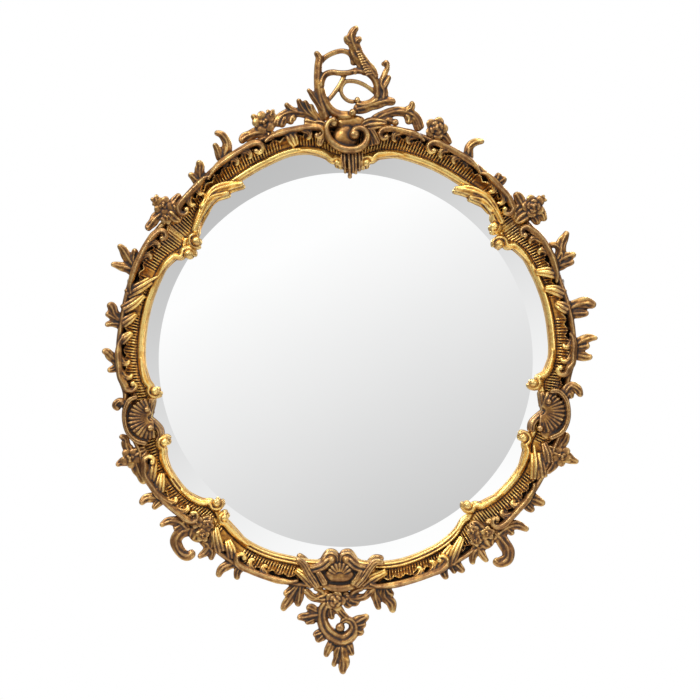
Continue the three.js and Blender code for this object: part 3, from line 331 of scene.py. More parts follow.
# Height beyond the plate's edge and depth of the section's corners, over all angles at once: up the
# plate's rebate, over the sight bead, across the hollow to its lobed edge, over the rim and down its back.
def railCorners(sight, rim, lift, double, channel):
    w = sightBead["width"]
    h = sightBead["height"]
    level = np.zeros_like(sight)
    lobe = rim - 12.5
    dip = 0.2 + 3.0 * double
    return [
        (1 + level, plateBack + level),
        (1 + level, shelf - bevel["drop"] + level),
        (sight + 1.2, shelf - bevel["drop"] / bevel["width"] * (bevel["width"] + sight)),
        (sight, shelf + 2.6 * lift),
        (sight + 0.8, shelf + 0.62 * h * lift),
        (sight + 0.26 * w, shelf + 0.92 * h * lift),
        (sight + 0.5 * w, shelf + (h - dip) * lift),
        (sight + 0.78 * w, shelf + 0.98 * h * lift),
        (sight + 0.98 * w, shelf + 0.72 * h * lift),
        (sight + 1.1 * w, shelf + 0.3 * h * lift),
        (sight + 1.4 * w, shelf + 0.36 * h * lift),
        (0.5 * (sight + 1.4 * w) + 0.5 * (lobe - 3), shelf + 0.44 * h * lift),
        (lobe - 3, shelf + 0.82 * h * lift),
        (lobe - 0.6, shelf + 1.18 * h * lift),
        (lobe + 1.0, shelf + 1.05 * h * lift),
        (lobe + 1.6, shelf + channel * h * lift),
        (lobe + 3.2, shelf + (channel - 0.05) * h * lift),
        (rim - 7.6, shelf + 0.44 * rimHeight * lift),
        (rim - 7.2, shelf + 0.66 * rimHeight * lift),
        (rim - 5.2, shelf + 0.84 * rimHeight * lift),
        (rim - 3.2, shelf + 0.88 * rimHeight * lift),
        (rim - 1.2, shelf + 0.78 * rimHeight * lift),
        (rim, shelf + 0.6 * rimHeight * lift),
        (rim - 0.6, shelf + 0.3 * rimHeight * lift),
        (rim - 4, plateBack + level),
    ]


def rail(carving, form):
    start, stop = form["from"], form["to"]
    lap, reach = np.array(form["lap"], float), np.array(form["reach"], float)
    overlap = math.degrees(0.1 / plateRadius)  # rails run 0.1 mm into each other
    fine = 0.8

    def shape(u, v):
        angle = start - overlap + (stop - start + 2 * overlap) * u
        toEnd = np.minimum(angle - start, stop - angle)
        lift = 0.5 + 0.5 * ease(0, 7, toEnd)
        sight = -through(lap[:, 0], lap[:, 1], angle)
        rim = through(reach[:, 0], reach[:, 1], angle)
        arc = np.radians(angle) * plateRadius
        double = np.zeros_like(angle)
        for a, b in form.get("doubleBead", []):
            double = np.maximum(double, ease(a - 2, a + 2, angle) * (1 - ease(b - 2, b + 2, angle)))
        # the lobed edge between hollow and rim swings in scallops
        lobe = np.abs(np.sin(np.pi * arc / scallops["length"]))
        swing = scallops["depth"] * (lobe - 0.6)
        corners = railCorners(sight, rim, lift, double, form.get("channel", 0.3))
        heights = np.stack([c[0] for c in corners])
        depths = np.stack([c[1] for c in corners])
        # rows 12 to 15 of the section are the lobed edge
        for row in (12, 13, 14, 15):
            heights[row] += swing
        for row in (12, 13, 14):
            depths[row] += scallops["plump"] * (lobe - 0.4) * lift
        count = len(corners)
        t = v * count
        i = np.floor(t).astype(int) % count
        f = t - np.floor(t)
        near = np.arange(len(u))
        before, here, after, later = [(i + k) % count for k in (-1, 0, 1, 2)]
        soft = 0.42

        def blend(table):
            a, b, c, d = [table[row, near] for row in (before, here, after, later)]
            return cubic(f, b, c, soft * (c - a), soft * (d - b))

        height, depth = blend(heights), blend(depths)
        # ribs in the hollow between the sight bead and the scalloped edge
        inHollow = ease(9.2, 10.6, t) * (1 - ease(13.6, 14.4, t))
        ribbed = np.zeros_like(angle)
        for a, b in form.get("ribs", [(start, stop)]):
            ribbed = np.maximum(ribbed, ease(a - 0.4, a + 0.4, angle) * (1 - ease(b - 0.4, b + 0.4, angle)))
        lean = ribs["slant"] * (t - 11)
        wave = np.cos(2 * np.pi * (arc + 2.2 * lean) / ribs["pitch"])
        depth = depth + ribs["height"] * lift * inHollow * ribbed * (np.sign(wave) * np.abs(wave) ** 0.7)
        radius = plateRadius + height
        turn = np.radians(angle)
        return np.column_stack([radius * np.cos(turn), radius * np.sin(turn), depth])

    meanRadius = 300
    columns = int(math.radians(stop - start) * meanRadius / fine)
    around = 90
    rolled(carving, columns, around, shape)


# Fusing and finishing

# Mean height of each point over its own smoothed surface, at three sizes. The gilding colours by it: hollows
# dark, as real patina deepened by painted shade, and ridges bright, as rubbed leaf.
def reliefOf(mesh):
    count = len(mesh.vertices)
    place = np.empty(count * 3)
    mesh.vertices.foreach_get("co", place)
    place = place.reshape(-1, 3) / mm
    normal = np.empty(count * 3)
    mesh.vertices.foreach_get("normal", normal)
    normal = normal.reshape(-1, 3)
    ends = np.empty(len(mesh.edges) * 2, int)
    mesh.edges.foreach_get("vertices", ends)
    a, b = ends.reshape(-1, 2).T
    valence = np.bincount(a, minlength=count) + np.bincount(b, minlength=count)
    smoothed = place.copy()
    grain = (0.8 / voxel) ** 2
    stops = [max(2, int(5 * grain)), max(4, int(22 * grain)), max(8, int(80 * grain))]
    shares = [0.45, 0.35, 0.32]
    sizes = [0.16, 0.5, 1.35]
    found = np.zeros(count)
    for step in range(stops[-1]):
        sums = [np.bincount(a, s[b], count) + np.bincount(b, s[a], count) for s in smoothed.T]
        smoothed = 0.4 * smoothed + 0.6 * np.stack(sums, 1) / np.maximum(valence, 1)[:, None]
        if step + 1 in stops:
            n = stops.index(step + 1)
            rise = ((place - smoothed) * normal).sum(1)
            found += shares[n] * np.tanh(rise / sizes[n])
    return np.clip(0.5 + 0.5 * found, 0, 1), place, normal


def fuse(name, carving):
    mesh = bpy.data.meshes.new(name)
    carving.to_mesh(mesh)
    carving.free()
    mesh.transform(onTheWall)
    rough = bpy.data.objects.new(name, mesh)
    bpy.context.scene.collection.objects.link(rough)
    melt = rough.modifiers.new("melt", "REMESH")
    melt.mode = "VOXEL"
    melt.voxel_size = voxel * mm
    melt.use_smooth_shade = True
    rub = rough.modifiers.new("rub", "SMOOTH")
    rub.factor = 0.5
    rub.iterations = 2
    seen = rough.evaluated_get(bpy.context.evaluated_depsgraph_get())
    fused = bpy.data.meshes.new_from_object(seen)
    rough.modifiers.clear()
    rough.data = fused
    fused.name = name
    bpy.data.meshes.remove(mesh)
    return rough


# polish says how much bright leaf is left at each point: a number, or a function of x and y in mm.
def carved(node, carving, polish=0.15):
    piece = fuse(node + "_carved", carving)
    mesh = piece.data
    relief, place, normal = reliefOf(mesh)
    depth = -place[:, 1]
    marks = {
        # relief later darkens the hollows in the gilding's colour: real patina there, with painted shade on
        # top
        "relief": relief,
        "rise": ease(0, 12, depth - shelf),
        "polish": polish(place[:, 0], place[:, 2]) if callable(polish) else np.full(len(place), polish),
        "rear": ease(0.35, 0.8, normal[:, 1]) * (1 - ease(7, 12, depth)),
    }
    for name, values in marks.items():
        mark = mesh.attributes.new(name, "FLOAT", "POINT")
        mark.data.foreach_set("value", values.astype(np.float32))
    mesh.materials.clear()
    mesh.materials.append(gilt)
    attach(piece, "frame")
    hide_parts(node)
    print("%s: %d faces" % (node, len(mesh.polygons)))


# Materials

# A node tree with a short way to add each kind of node that is used here. An input is a number,
# a tuple of three, or another node's output.
class Recipe:
    def __init__(self, tree):
        self.nodes = tree.nodes
        self.links = tree.links

    def fill(self, socket, value):
        if isinstance(value, tuple):
            socket.default_value = (*value, 1)[: len(socket.default_value)]
        elif isinstance(value, (int, float)):
            socket.default_value = value
        else:
            self.links.new(value, socket)

    def node(self, kind, output, inputs, **settings):
        made = self.nodes.new("ShaderNode" + kind)
        for name, value in settings.items():
            setattr(made, name, value)
        for name, value in inputs.items():
            self.fill(made.inputs[name], value)
        return made.outputs[output]

    def noise(self, where, scale, detail, roughness):
        inputs = {"Vector": where, "Scale": scale, "Detail": detail, "Roughness": roughness}
        return self.node("TexNoise", "Fac", inputs)

    def ramp(self, fac, stops):
        made = self.nodes.new("ShaderNodeValToRGB")
        while len(made.color_ramp.elements) < len(stops):
            made.color_ramp.elements.new(0.5)
        for element, (position, color) in zip(made.color_ramp.elements, stops):
            element.position = position
            element.color = (*color, 1)
        self.links.new(fac, made.inputs["Fac"])
        return made.outputs["Color"]

    def maths(self, kind, a, b):
        return self.node("Math", 0, {0: a, 1: b}, operation=kind)

    def add(self, a, b):
        return self.maths("ADD", a, b)

    def times(self, a, b):
        return self.maths("MULTIPLY", a, b)

    def mapped(self, value, low, high, toLow, toHigh):
        inputs = {"Value": value, "From Min": low, "From Max": high, "To Min": toLow, "To Max": toHigh}
        return self.node("MapRange", "Result", inputs)

    def bump(self, height, distance, strength, normal=None):
        inputs = {"Height": height, "Distance": distance, "Strength": strength}
        if normal is not None:
            inputs["Normal"] = normal
        return self.node("Bump", "Normal", inputs)

    def mixed(self, fac, a, b):
        return self.node("Mix", "Result", {"Factor": fac, "A": a, "B": b}, data_type="RGBA")


# A new material, its recipe, the place on the object and the inputs of its shader.
def newMaterial(name):
    material = bpy.data.materials.new(name)
    material.use_nodes = True
    recipe = Recipe(material.node_tree)
    skin = material.node_tree.nodes["Principled BSDF"].inputs
    return material, recipe, recipe.node("TexCoord", "Object", {}), skin


# One clouded colour. noise is scale, detail and roughness, and bump is distance and strength.
def mottled(name, noise, colors, roughness, metallic=0, bump=None):
    material, recipe, where, skin = newMaterial(name)
    cloud = recipe.noise(where, *noise)
    recipe.fill(skin["Base Color"], recipe.ramp(cloud, colors))
    recipe.fill(skin["Metallic"], metallic)
    recipe.fill(skin["Roughness"], recipe.mapped(cloud, 0.3, 0.7, *roughness))
    if bump:
        recipe.fill(skin["Normal"], recipe.bump(cloud, *bump))
    return material


# Colours from the hollows to the ridges, where the gilding has aged and where it was rubbed bright. The
# near-black low end of each ramp is painted shade in the hollows over the dark patina.
gilding = {
    "aged": [
        (0.12, (0.010, 0.005, 0.003)),
        (0.32, (0.066, 0.029, 0.013)),
        (0.50, (0.205, 0.097, 0.039)),
        (0.68, (0.325, 0.165, 0.064)),
        (0.92, (0.510, 0.310, 0.132)),
    ],
    "polished": [
        (0.12, (0.014, 0.006, 0.003)),
        (0.28, (0.155, 0.067, 0.020)),
        (0.44, (0.450, 0.208, 0.050)),
        (0.62, (0.830, 0.425, 0.078)),
        (0.90, (0.980, 0.720, 0.250)),
    ],
    "bareWood": [(0.3, (0.20, 0.115, 0.05)), (0.7, (0.33, 0.20, 0.095))],
}


def giltWood():
    # This gilding paints shade into its colour: hollows darkened by the relief, over the real patina
    material, recipe, where, skin = newMaterial("antiqueGildingPaintedShade")
    marks = ("relief", "rise", "rear", "polish")
    relief, rise, rear, polish = [recipe.node("Attribute", "Fac", {}, attribute_name=name) for name in marks]
    patches = recipe.noise(where, 60, 6, 0.65)
    blotches = recipe.noise(where, 170, 5, 0.6)
    grain = recipe.noise(where, 420, 6, 0.65)
    scratches = recipe.noise(where, 900, 3, 0.5)
    # wear and painted shade follow the relief, broken up by patches and grain: hollows darken as patina and
    # painted shade, ridges show rubbed leaf
    wearAndShade = recipe.times(recipe.mapped(rise, 0, 1, 1.06, 1.0), relief)
    for change in (
        (patches, 0.3, 0.7, -0.15, 0.15),
        (blotches, 0.3, 0.7, -0.11, 0.11),
        (polish, 0, 0.8, -0.04, 0.055),
        (grain, 0.3, 0.7, -0.09, 0.09),
    ):
        wearAndShade = recipe.add(wearAndShade, recipe.mapped(*change))
    aged = recipe.ramp(wearAndShade, gilding["aged"])
    polished = recipe.ramp(wearAndShade, gilding["polished"])
    leafLeft = recipe.add(polish, recipe.mapped(patches, 0.35, 0.65, -0.22, 0.22))
    color = recipe.mixed(recipe.mapped(leafLeft, 0.1, 0.9, 0, 1), aged, polished)
    bare = recipe.ramp(grain, gilding["bareWood"])
    recipe.fill(skin["Base Color"], recipe.mixed(rear, color, bare))
    leafed = recipe.mapped(wearAndShade, 0.26, 0.46, 0.1, 0.96)
    recipe.fill(skin["Metallic"], recipe.times(leafed, recipe.maths("SUBTRACT", 1, rear)))
    dull = recipe.add(recipe.mapped(wearAndShade, 0.3, 0.8, 0.62, 0.30), recipe.mapped(grain, 0.3, 0.7, -0.08, 0.1))
    recipe.fill(skin["Roughness"], recipe.add(dull, recipe.times(rear, 0.25)))
    normal = None
    for layer in ((patches, 0.0014, 0.45), (grain, 0.0006, 0.5), (scratches, 0.0002, 0.3)):
        normal = recipe.bump(*layer, normal)
    recipe.fill(skin["Normal"], normal)
    return material


gilt = giltWood()


# The eight rails and what grows out of them. lap, how far the sight bead comes in over the plate, and
# reach, how far the rim stands out from it, are rows of [angle, millimetres], as in the CAD.
# kept is the leaf left in the hollow, and channel the depth of the groove inside the rim.
# Strokes are on the ring, as [angle, height beyond the plate's edge, half width].

def leaves(carving, strokes, place=onRing, times=1.0, **form):
    for rows in strokes:
        drawn = place(rows)
        drawn[:, 2] *= times
        stroke(carving, drawn, **form)


railTopLeft = {
    "from": 90, "to": 143.3,
    "lap": [[90, 26], [93, 23], [97, 13], [103, 6], [112, 8], [122, 11.5], [131, 13], [136, 18],
            [139, 27], [141.5, 31], [143.3, 26]],
    "reach": [[90, 28], [110, 30], [122, 26], [130, 21], [136, 19], [143.3, 20]],
    "ribs": [(92, 103), (107, 127), (131, 143)],
    "doubleBead": [(122, 139)],
    "hooks": [[92.4, -25, 5.5], [141.5, -34, 8.5]],
    "sprigs": [
        [[122.5, 16, 5], [120.3, 30, 5.4], [118.6, 42, 4.4], [118.9, 54, 3.6], [120, 62, 2.2]],
        [[122, 24, 4], [121.4, 40, 3.6], [121.3, 50, 2.2]],
        [[129.5, 12, 6], [128.2, 26, 5], [126.8, 37, 4], [126.5, 43, 2.2]],
        [[129.5, 14, 5], [129.8, 28, 3.8], [130.1, 37, 2.2]],
    ],
    "rimScrolls": [[110.5, 95.4], [127.5, 111.3], [126.2, 138.5]],
    "wraps": [
        [[104, 25, 5], [103.5, 14, 5.5], [103, 4, 3.5]],
    ],
    "sightLeaves": [
        [[140, -24, 3.6], [134, -13, 5], [128, -3, 6.4], [123.8, -8.5, 6.2], [120, -17, 3]],
        [[134, -9, 4.4], [129.5, -7, 5.4], [124.8, -16, 3]],
    ],
}

railLeft = {
    "from": 143.3, "to": 196.5, "kept": 0.25,
    "lap": [[143.3, 26], [145.5, 31], [148, 26], [151, 21], [158, 19], [172, 19], [182, 21], [186, 24],
            [189, 30], [191.5, 26], [196.5, 18]],
    "reach": [[143.3, 20], [150, 22], [158, 21], [168, 18.5], [180, 18], [185, 16], [188.5, 12.5],
              [192, 16], [196.5, 20]],
    "ribs": [(144, 155), (157.5, 165), (168, 194)],
    "hooks": [[146, -36, 8.5], [189.3, -31, 7.5]],
    "sprigs": [
        [[157, 12, 6], [155.4, 28, 5.2], [153.8, 42, 4.2], [153.1, 52, 2]],
        [[157, 14, 6], [157.2, 32, 4.8], [157.8, 50, 2]],
        [[157, 18, 5], [154, 26, 4], [152, 29, 2.5]],
        [[170.5, 10, 6], [169.2, 24, 5], [167.2, 32, 4.5], [166.6, 38, 2.6]],
        [[170.5, 14, 5], [168.9, 38, 2.6]],
        [[171, 10, 5], [171.2, 28, 3.2], [171.8, 36, 2.2]],
        [[181, 10, 6], [179.5, 22, 5], [178.2, 30, 4], [177.8, 37, 2]],
        [[181, 12, 5], [182.3, 22, 3.5], [182.6, 30, 2.2]],
    ],
    "rimScrolls": [[163, 144.6], [174, 188.3]],
    "wraps": [
        [[163.5, 17, 4.6], [160.6, 3, 5.2], [157.6, -8, 4], [155.8, -15, 2.4]],
        [[167.5, 17, 4.6], [165, 4, 5], [162, -6, 3]],
        [[171, 14, 4.6], [169.3, 5, 4.6], [167.5, -3, 3]],
        [[175.6, 13, 4], [173.8, 5, 4], [172.6, -2, 2.6]],
    ],
}

railLowerLeft = {
    "from": 196.5, "to": 231, "kept": 0.3, "channel": 0.5,
    "lap": [[196.5, 18], [200, 22], [203, 24], [205, 22], [208, 16], [214, 13], [220, 14.5], [224, 20],
            [227, 28], [229, 28], [231, 24]],
    "reach": [[196.5, 20], [204, 16], [208, 22], [220, 20], [225, 16], [231, 18]],
    "ribs": [(198, 213), (215.5, 230.5)],
    "doubleBead": [(206, 226)],
    "hooks": [[204.5, -23, 7.5], [228, -32, 7.5]],
    "sprigs": [
        [[217.5, 12, 6], [216, 24, 5], [214.8, 34, 4.5], [215.1, 47, 2.4]],
        [[217, 14, 5], [217.4, 26, 3.8], [217.7, 37, 2.4]],
    ],
    "rimScrolls": [[220, 206], [214, 227]],
    "wraps": [
        [[212, 19, 4.6], [209.5, 8, 5], [207, -2, 3.4]],
        [[215.5, 17, 4.4], [213.4, 7, 4.6], [211.5, -1, 3]],
    ],
}

railBottomLeft = {
    "from": 231, "to": 269.2, "kept": 0.34, "channel": 0.62,
    "lap": [[231, 24], [233, 22], [236, 19], [241, 14], [248, 13], [255, 15.5], [261, 17], [264.5, 20],
            [267, 26], [269.2, 22]],
    "reach": [[231, 18], [236, 22], [250, 23], [262, 19], [269.2, 16]],
    "ribs": [(232, 234), (242, 257)],
    "doubleBead": [(236, 264)],
    "hooks": [[232.5, -23, 6.5]],
    "sprigs": [
        [[243, 12, 6], [241, 22, 5], [239.4, 34, 4.4], [239.5, 48, 2.4]],
        [[243.5, 14, 5], [243, 28, 3.8], [243.7, 39, 2.4]],
        [[258.4, 14, 6], [257.2, 32, 5], [256.2, 48, 4], [255.8, 57, 2.2]],
        [[258.6, 14, 5], [258.9, 36, 4], [259, 47, 2.4]],
        [[258, 14, 5], [256.6, 28, 4], [255.2, 36, 2.6]],
    ],
    "rimScrolls": [[258, 241]],
    "wraps": [
        [[240.5, 17, 4.6], [238.6, 6, 5], [236.6, -2, 3.4]],
        [[237, 18, 4.6], [234.4, 6, 4.8], [232, -6, 3.4]],
        [[262, 16, 4.6], [259.5, 6, 5], [256.5, -1, 3.2]],
    ],
}

railBottomRight = {
    "from": 269.2, "to": 308, "kept": 0.34, "channel": 0.62,
    "lap": [[269.2, 22], [271.5, 26], [274, 20], [278, 16], [283, 12.5], [292, 12.5], [298, 14.5],
            [303, 20], [306, 26], [308, 26]],
    "reach": [[269.2, 16], [276, 20], [292, 22], [300, 21.5], [308, 20]],
    "ribs": [(281, 307)],
    "doubleBead": [(275, 303)],
    "hooks": [],
    "sprigs": [
        [[280, 14, 5], [279.4, 30, 5], [280.7, 44, 4.6], [280.6, 55, 2.4]],
        [[277.4, 12, 5], [277.2, 30, 4.4], [277.7, 48, 2.4]],
        [[279.5, 14, 5], [280.6, 28, 4.6], [281.6, 32, 2.6]],
        [[297, 10, 6], [298.4, 22, 5], [299.2, 36, 2.4]],
        [[297, 12, 4], [297.2, 32, 2]],
        [[295.4, 10, 5], [294.8, 24, 4], [294.8, 34, 2.4]],
    ],
    "rimScrolls": [[276, 297]],
    "wraps": [
        [[274, 14, 4.6], [277, 5, 5], [281, -1, 3.2]],
        [[293, 18, 4.6], [296.5, 6, 5], [300, -3, 3.4]],
        [[297, 18, 4.4], [300, 5, 4.8], [303.5, -6, 3.2]],
    ],
}

railLowerRight = {
    "from": 308, "to": 345.5, "kept": 0.22, "channel": 0.5,
    "lap": [[308, 26], [310, 31], [313, 26], [317, 21], [322, 18], [329, 17.5], [333, 21], [336, 26],
            [339, 25], [342, 25], [345.5, 18]],
    "reach": [[308, 20], [318, 20], [326, 20.5], [334, 18], [340, 17], [345.5, 20]],
    "ribs": [(308.5, 328), (337, 344)],
    "hooks": [[310, -35, 7.5], [336.3, -29.5, 7.5]],
    "sprigs": [
        [[322.4, 12, 7], [323.6, 26, 5.5], [324.1, 40, 2.6]],
        [[321.6, 12, 5], [321.2, 26, 4], [321.3, 34, 2.4]],
    ],
    "rimScrolls": [[327, 311.8]],
    "wraps": [
        [[329, 18, 4.6], [331.5, 7, 5], [334.5, -3, 3.4]],
        [[333, 16, 4.4], [335.6, 6, 4.6], [337.5, -3, 3]],
        [[327.5, 10, 4], [331, 1, 5], [334, -8, 4], [336, -14, 3]],
    ],
}

railRight = {
    "from": 345.5, "to": 399.4,
    "lap": [[345.5, 18], [349, 22], [352, 30], [354, 31], [356.5, 23], [360, 18], [368, 15.5],
            [385, 15], [391, 16.5], [394.5, 21.5], [397, 30], [399.4, 26]],
    "reach": [[345.5, 20], [349, 16], [352, 12.5], [355, 13], [360, 18], [370, 21], [380, 19.5],
              [391, 23], [396, 19], [399.4, 18]],
    "ribs": [(347, 371), (377, 382), (385.5, 399)],
    "hooks": [[353, -36, 7.5], [397, -32, 8.5]],
    "sprigs": [
        [[384.5, 14, 6], [386, 28, 5], [388.5, 40, 5], [390.2, 54, 2.2]],
        [[384.5, 16, 6], [385, 32, 5], [384.8, 50, 2.4]],
        [[384, 14, 5], [383.6, 32, 4], [383.4, 44, 2.2]],
        [[383, 18, 5], [386.5, 33, 3.4], [388.6, 31, 3], [389.4, 20, 3]],
        [[372.4, 12, 7], [373.4, 30, 6], [373, 46, 5], [372.1, 53, 2.8]],
        [[371.6, 14, 6], [371.3, 30, 4.5], [370.9, 42, 2.4]],
        [[363, 12, 7], [364.7, 30, 5], [365.2, 40, 3.6], [364.9, 49, 1.6]],
        [[362.8, 14, 6], [363.3, 30, 4], [363.4, 38, 2.2]],
        [[361.4, 14, 6], [360.9, 30, 4.6], [360.6, 41, 2.2]],
    ],
    "rimScrolls": [[367, 356], [380, 396.7]],
    "wraps": [
        [[376.5, 17, 4.6], [378.6, 5, 5.2], [379.8, -6, 3]],
        [[372.5, 17, 4.6], [374, 8, 5], [375.4, 1, 3]],
        [[382, 16, 4.6], [383.8, 3, 5], [384.9, -9, 3]],
    ],
}

railTopRight = {
    "from": 399.4, "to": 450,
    "lap": [[399.4, 26], [401.5, 26], [404, 15], [408, 9.5], [416, 9], [430, 8.5], [438, 11], [442, 17],
            [445.5, 24], [450, 26]],
    "reach": [[399.4, 18], [405, 22], [415, 27], [430, 30], [450, 28]],
    "ribs": [(400, 411), (414.5, 447)],
    "doubleBead": [(402, 415)],
    "hooks": [[402, -22, 7.5], [444, -24, 6.5]],
    "sprigs": [
        [[417.8, 16, 6.5], [419, 28, 5], [419.8, 40, 4.2], [419.2, 50, 3.6], [417.6, 57, 2.2]],
        [[409.6, 14, 6], [410, 26, 4.5], [410.6, 35, 2.4]],
        [[409.6, 16, 5], [409, 28, 4], [408.7, 36, 2.2]],
    ],
    "rimScrolls": [[414.5, 401.5], [414, 429], [430, 441.5]],
    "wraps": [],
    "sightLeaves": [
        [[400.8, -11, 3.8], [405.6, -5, 5], [410, -2.5, 6.6], [413.6, -8, 6.6], [417.8, -18.5, 3]],
        [[405, -8, 4.4], [409, -7, 5.6], [413, -15.5, 3]],
    ],
}

rails = {
    "rail_top_left": railTopLeft,
    "rail_left": railLeft,
    "rail_lower_left": railLowerLeft,
    "rail_bottom_left": railBottomLeft,
    "rail_bottom_right": railBottomRight,
    "rail_lower_right": railLowerRight,
    "rail_right": railRight,
    "rail_top_right": railTopRight,
}

for node, form in rails.items():
    carving = bmesh.new()
    rail(carving, form)

    def sight(angle):
        return heightAt(form["lap"], angle)

    def rim(angle):
        return heightAt(form["reach"], angle)

    middle = (form["from"] + form["to"]) / 2
    for angle, height, radius in form["hooks"]:
        hook(carving, sight, angle, height, radius, 1 if middle > angle else -1)
    for start, stop in form["rimScrolls"]:
        rimScroll(carving, rim, start, stop)
    leaves(carving, form["sprigs"], times=1.45, lift=-11, half=6.5, relief=veined, lobes=2, notch=0.16, tip=3)
    for rows in form["wraps"]:
        wrap(carving, rows)
    leaves(carving, form.get("sightLeaves", []), lift=-6, half=6.5, relief=veined, lobes=2, notch=0.14)

    # the sight moulding keeps most of its leaf
    def leafKept(x, y):
        angle = np.degrees(np.arctan2(y, x)) % 360
        angle = np.where(angle < form["from"] - 20, angle + 360, angle)
        beyond = np.hypot(x, y) - plateRadius + sight(angle)
        worn = (0.2 - form.get("kept", 0.08) * (1 - ease(20, 29, beyond))) * ease(9.5, 11.5, beyond)
        return 0.95 - worn - 0.6 * ease(16, 26, beyond) - 0.45 * ease(1, 4, -beyond)

    carved(node, carving, leafKept)
print("rails done")


# The crest: a cartouche over the joint, its hanging shell, pierced scrollwork and two arches of foliage.

cartouche = {
    "body": [[[-16, 16, 14], [0, 8, 18], [18, 8, 16]], [[-14, 24, 9], [8, 28, 11], [28, 22, 12]]],
    "frame": [
        [[-12, 32, 3], [-20, 30, 3], [-25, 23, 3], [-24.5, 13, 3.4], [-19, 2, 3.8], [-8, -6, 4],
         [4, -9, 4.2], [18, -6.5, 4.2],
         [26.5, 0.5, 4], [28.8, 9, 3.6], [25.7, 17, 3.4], [18, 20, 3.2], [10.5, 16.5, 3], [9.5, 10, 2.4]],
    ],
    "balls": [[11.8, 11.5, 7.4, 0], [-15.8, 26.5, 5, 0]],
    "bands": [
        [[24, 20, 8], [32, 10, 9], [36, -4, 7]],
        [[30, 22, 6], [38, 10, 6], [44, -2, 5]],
        [[-28, 22, 5], [-32, 8, 6], [-36, -4, 5]],
    ],
}
carving = bmesh.new()
stroke(carving, onCrest(cartouche["body"][0]), -11, 9, plain)
stroke(carving, onCrest(cartouche["body"][1]), -14, 9, plain)
leaves(carving, cartouche["frame"], onCrest, times=1.25, lift=-1, half=8, relief=plain)
leaves(carving, cartouche["bands"], onCrest, lift=-7, half=7, relief=fluted)
for x, height, radius, lift in cartouche["balls"]:
    ball(carving, x, plateRadius + height, radius, lift)
carved("crest_cartouche", carving)

shellDrop = {
    "backing": [[7, -2, 16], [8, -20, 12], [6, -36, 5]],
    "ribs": [
        [[3.5, -8, 2.9], [4.6, -25, 3.1], [5.6, -43, 3.4]],
        [[-1.5, -9, 2.5], [-1.2, -24, 2.6], [-0.6, -37, 2.6]],
        [[-5.4, -10, 2.2], [-5.6, -20, 2.3], [-4.6, -30, 2.3]],
        [[8.6, -8, 2.6], [9.4, -24, 2.8], [10, -37, 2.4]],
        [[12.8, -8, 2.5], [13.6, -24, 2.8], [13.6, -38, 2.6]],
        [[17.4, -9, 2.4], [18.4, -21, 2.6], [18.4, -33, 2.4]],
        [[21.4, -10, 2.2], [22.4, -20, 2.3], [21.6, -30, 2.4]],
    ],
}
carving = bmesh.new()
stroke(carving, onCrest(shellDrop["backing"]), -18.5, 4.5, plain)
leaves(carving, shellDrop["ribs"], onCrest, times=0.72, lift=-12.5, half=5.5, relief=plain, bow=1.5, tip=1.5)
for rib in shellDrop["ribs"]:  # each rib ends in a small lobe
    x, height, half = rib[-1]
    ball(carving, x, plateRadius + height + 1, half * 0.95, -9.5)
carved("crest_shell_drop", carving)

openwork = {
    "stems": [
        [[-26, 30, 6], [-31, 46, 5.5], [-35, 62, 5], [-37, 84, 4.6], [-36.5, 104, 4.4],
         [-35.5, 115, 4.2], [-41, 123, 2.6]],
        [[13, 97, 3.5], [4, 94.5, 3.2], [-8, 94, 3.2], [-18, 95, 3.4], [-27, 92, 3.6], [-31.5, 84, 3.6],
         [-32.5, 74, 3.6]],
        [[-32.5, 76, 3.6], [-30.5, 64, 4], [-26, 54, 4.4], [-19, 44, 5], [-9, 38, 5.6], [4, 37, 5.6],
         [12, 39, 4.4]],
        [[8, 97, 3.4], [16, 97, 3.4], [26, 95.5, 3.6], [36, 89, 4], [41.5, 79, 4.2], [43, 69, 4.4],
         [42, 58, 4.4]],
        [[13, 54, 3.4], [22, 52, 4], [34, 55, 4.2], [44, 62, 5]],
    ],
    "threads": [
        [[-36.5, 106, 3.2], [-29, 114, 2.6], [-17, 121, 2.5], [-2, 123.5, 2.5], [6, 120, 2.8],
         [10, 113, 3.2], [11.5, 104, 4]],
        [[-1, 93, 2.3], [-7, 80, 2.3], [-13, 71, 2.3], [-20, 62, 2.2], [-26, 56, 2.6]],
        [[-0.5, 83, 1.8], [-5.6, 75, 1.8], [-5.4, 67, 1.9], [-0.5, 60, 2], [5.7, 56.6, 2], [13, 56, 2.2]],
        [[-6, 76, 2], [-0.5, 82.5, 2], [10, 83.5, 2.1], [22.6, 79.7, 2.1], [32, 74, 2.1], [41, 67, 2.6]],
    ],
    "leaves": [
        [[-30, 42, 4], [-36, 52, 4], [-44, 64, 3.6], [-51, 73, 2.2]],
        [[32, 92, 7], [24, 104, 8], [18, 115, 7.6], [13, 126, 7], [9, 136, 6.4], [8, 144, 5],
         [11, 151, 4.4], [17, 155.5, 2.4]],
        [[9, 134, 4], [2, 138, 4.4], [0, 144, 2.6]],
        [[12, 134, 4], [18, 139, 3.8], [22, 140, 2.4]],
        [[20, 112, 6], [32, 100, 6], [41, 86, 5]],
        [[49, 56, 5], [51, 68, 5], [47.5, 80, 4], [52, 93, 3.4], [55.5, 101, 3], [54, 108, 2.8],
         [50, 107, 2.2]],
        [[50, 72, 3.6], [55, 83, 3.4], [59.5, 91, 2]],
        [[10, 44, 6], [24, 48, 6.5], [40, 53, 6.5], [55, 56.5, 5.5], [67, 55.5, 4]],
    ],
    "balls": [[9.5, 41, 5.2, -4], [15.7, 58, 4.2, -7], [50.6, 106, 3.4, -9], [12.5, 95, 3.6, -6]],
    "steps": {"from": (31, 92), "to": (17, 122), "count": 10},
}
carving = bmesh.new()
leaves(carving, openwork["stems"], onCrest, times=1.2, lift=-9, half=6.5, relief=ridged)
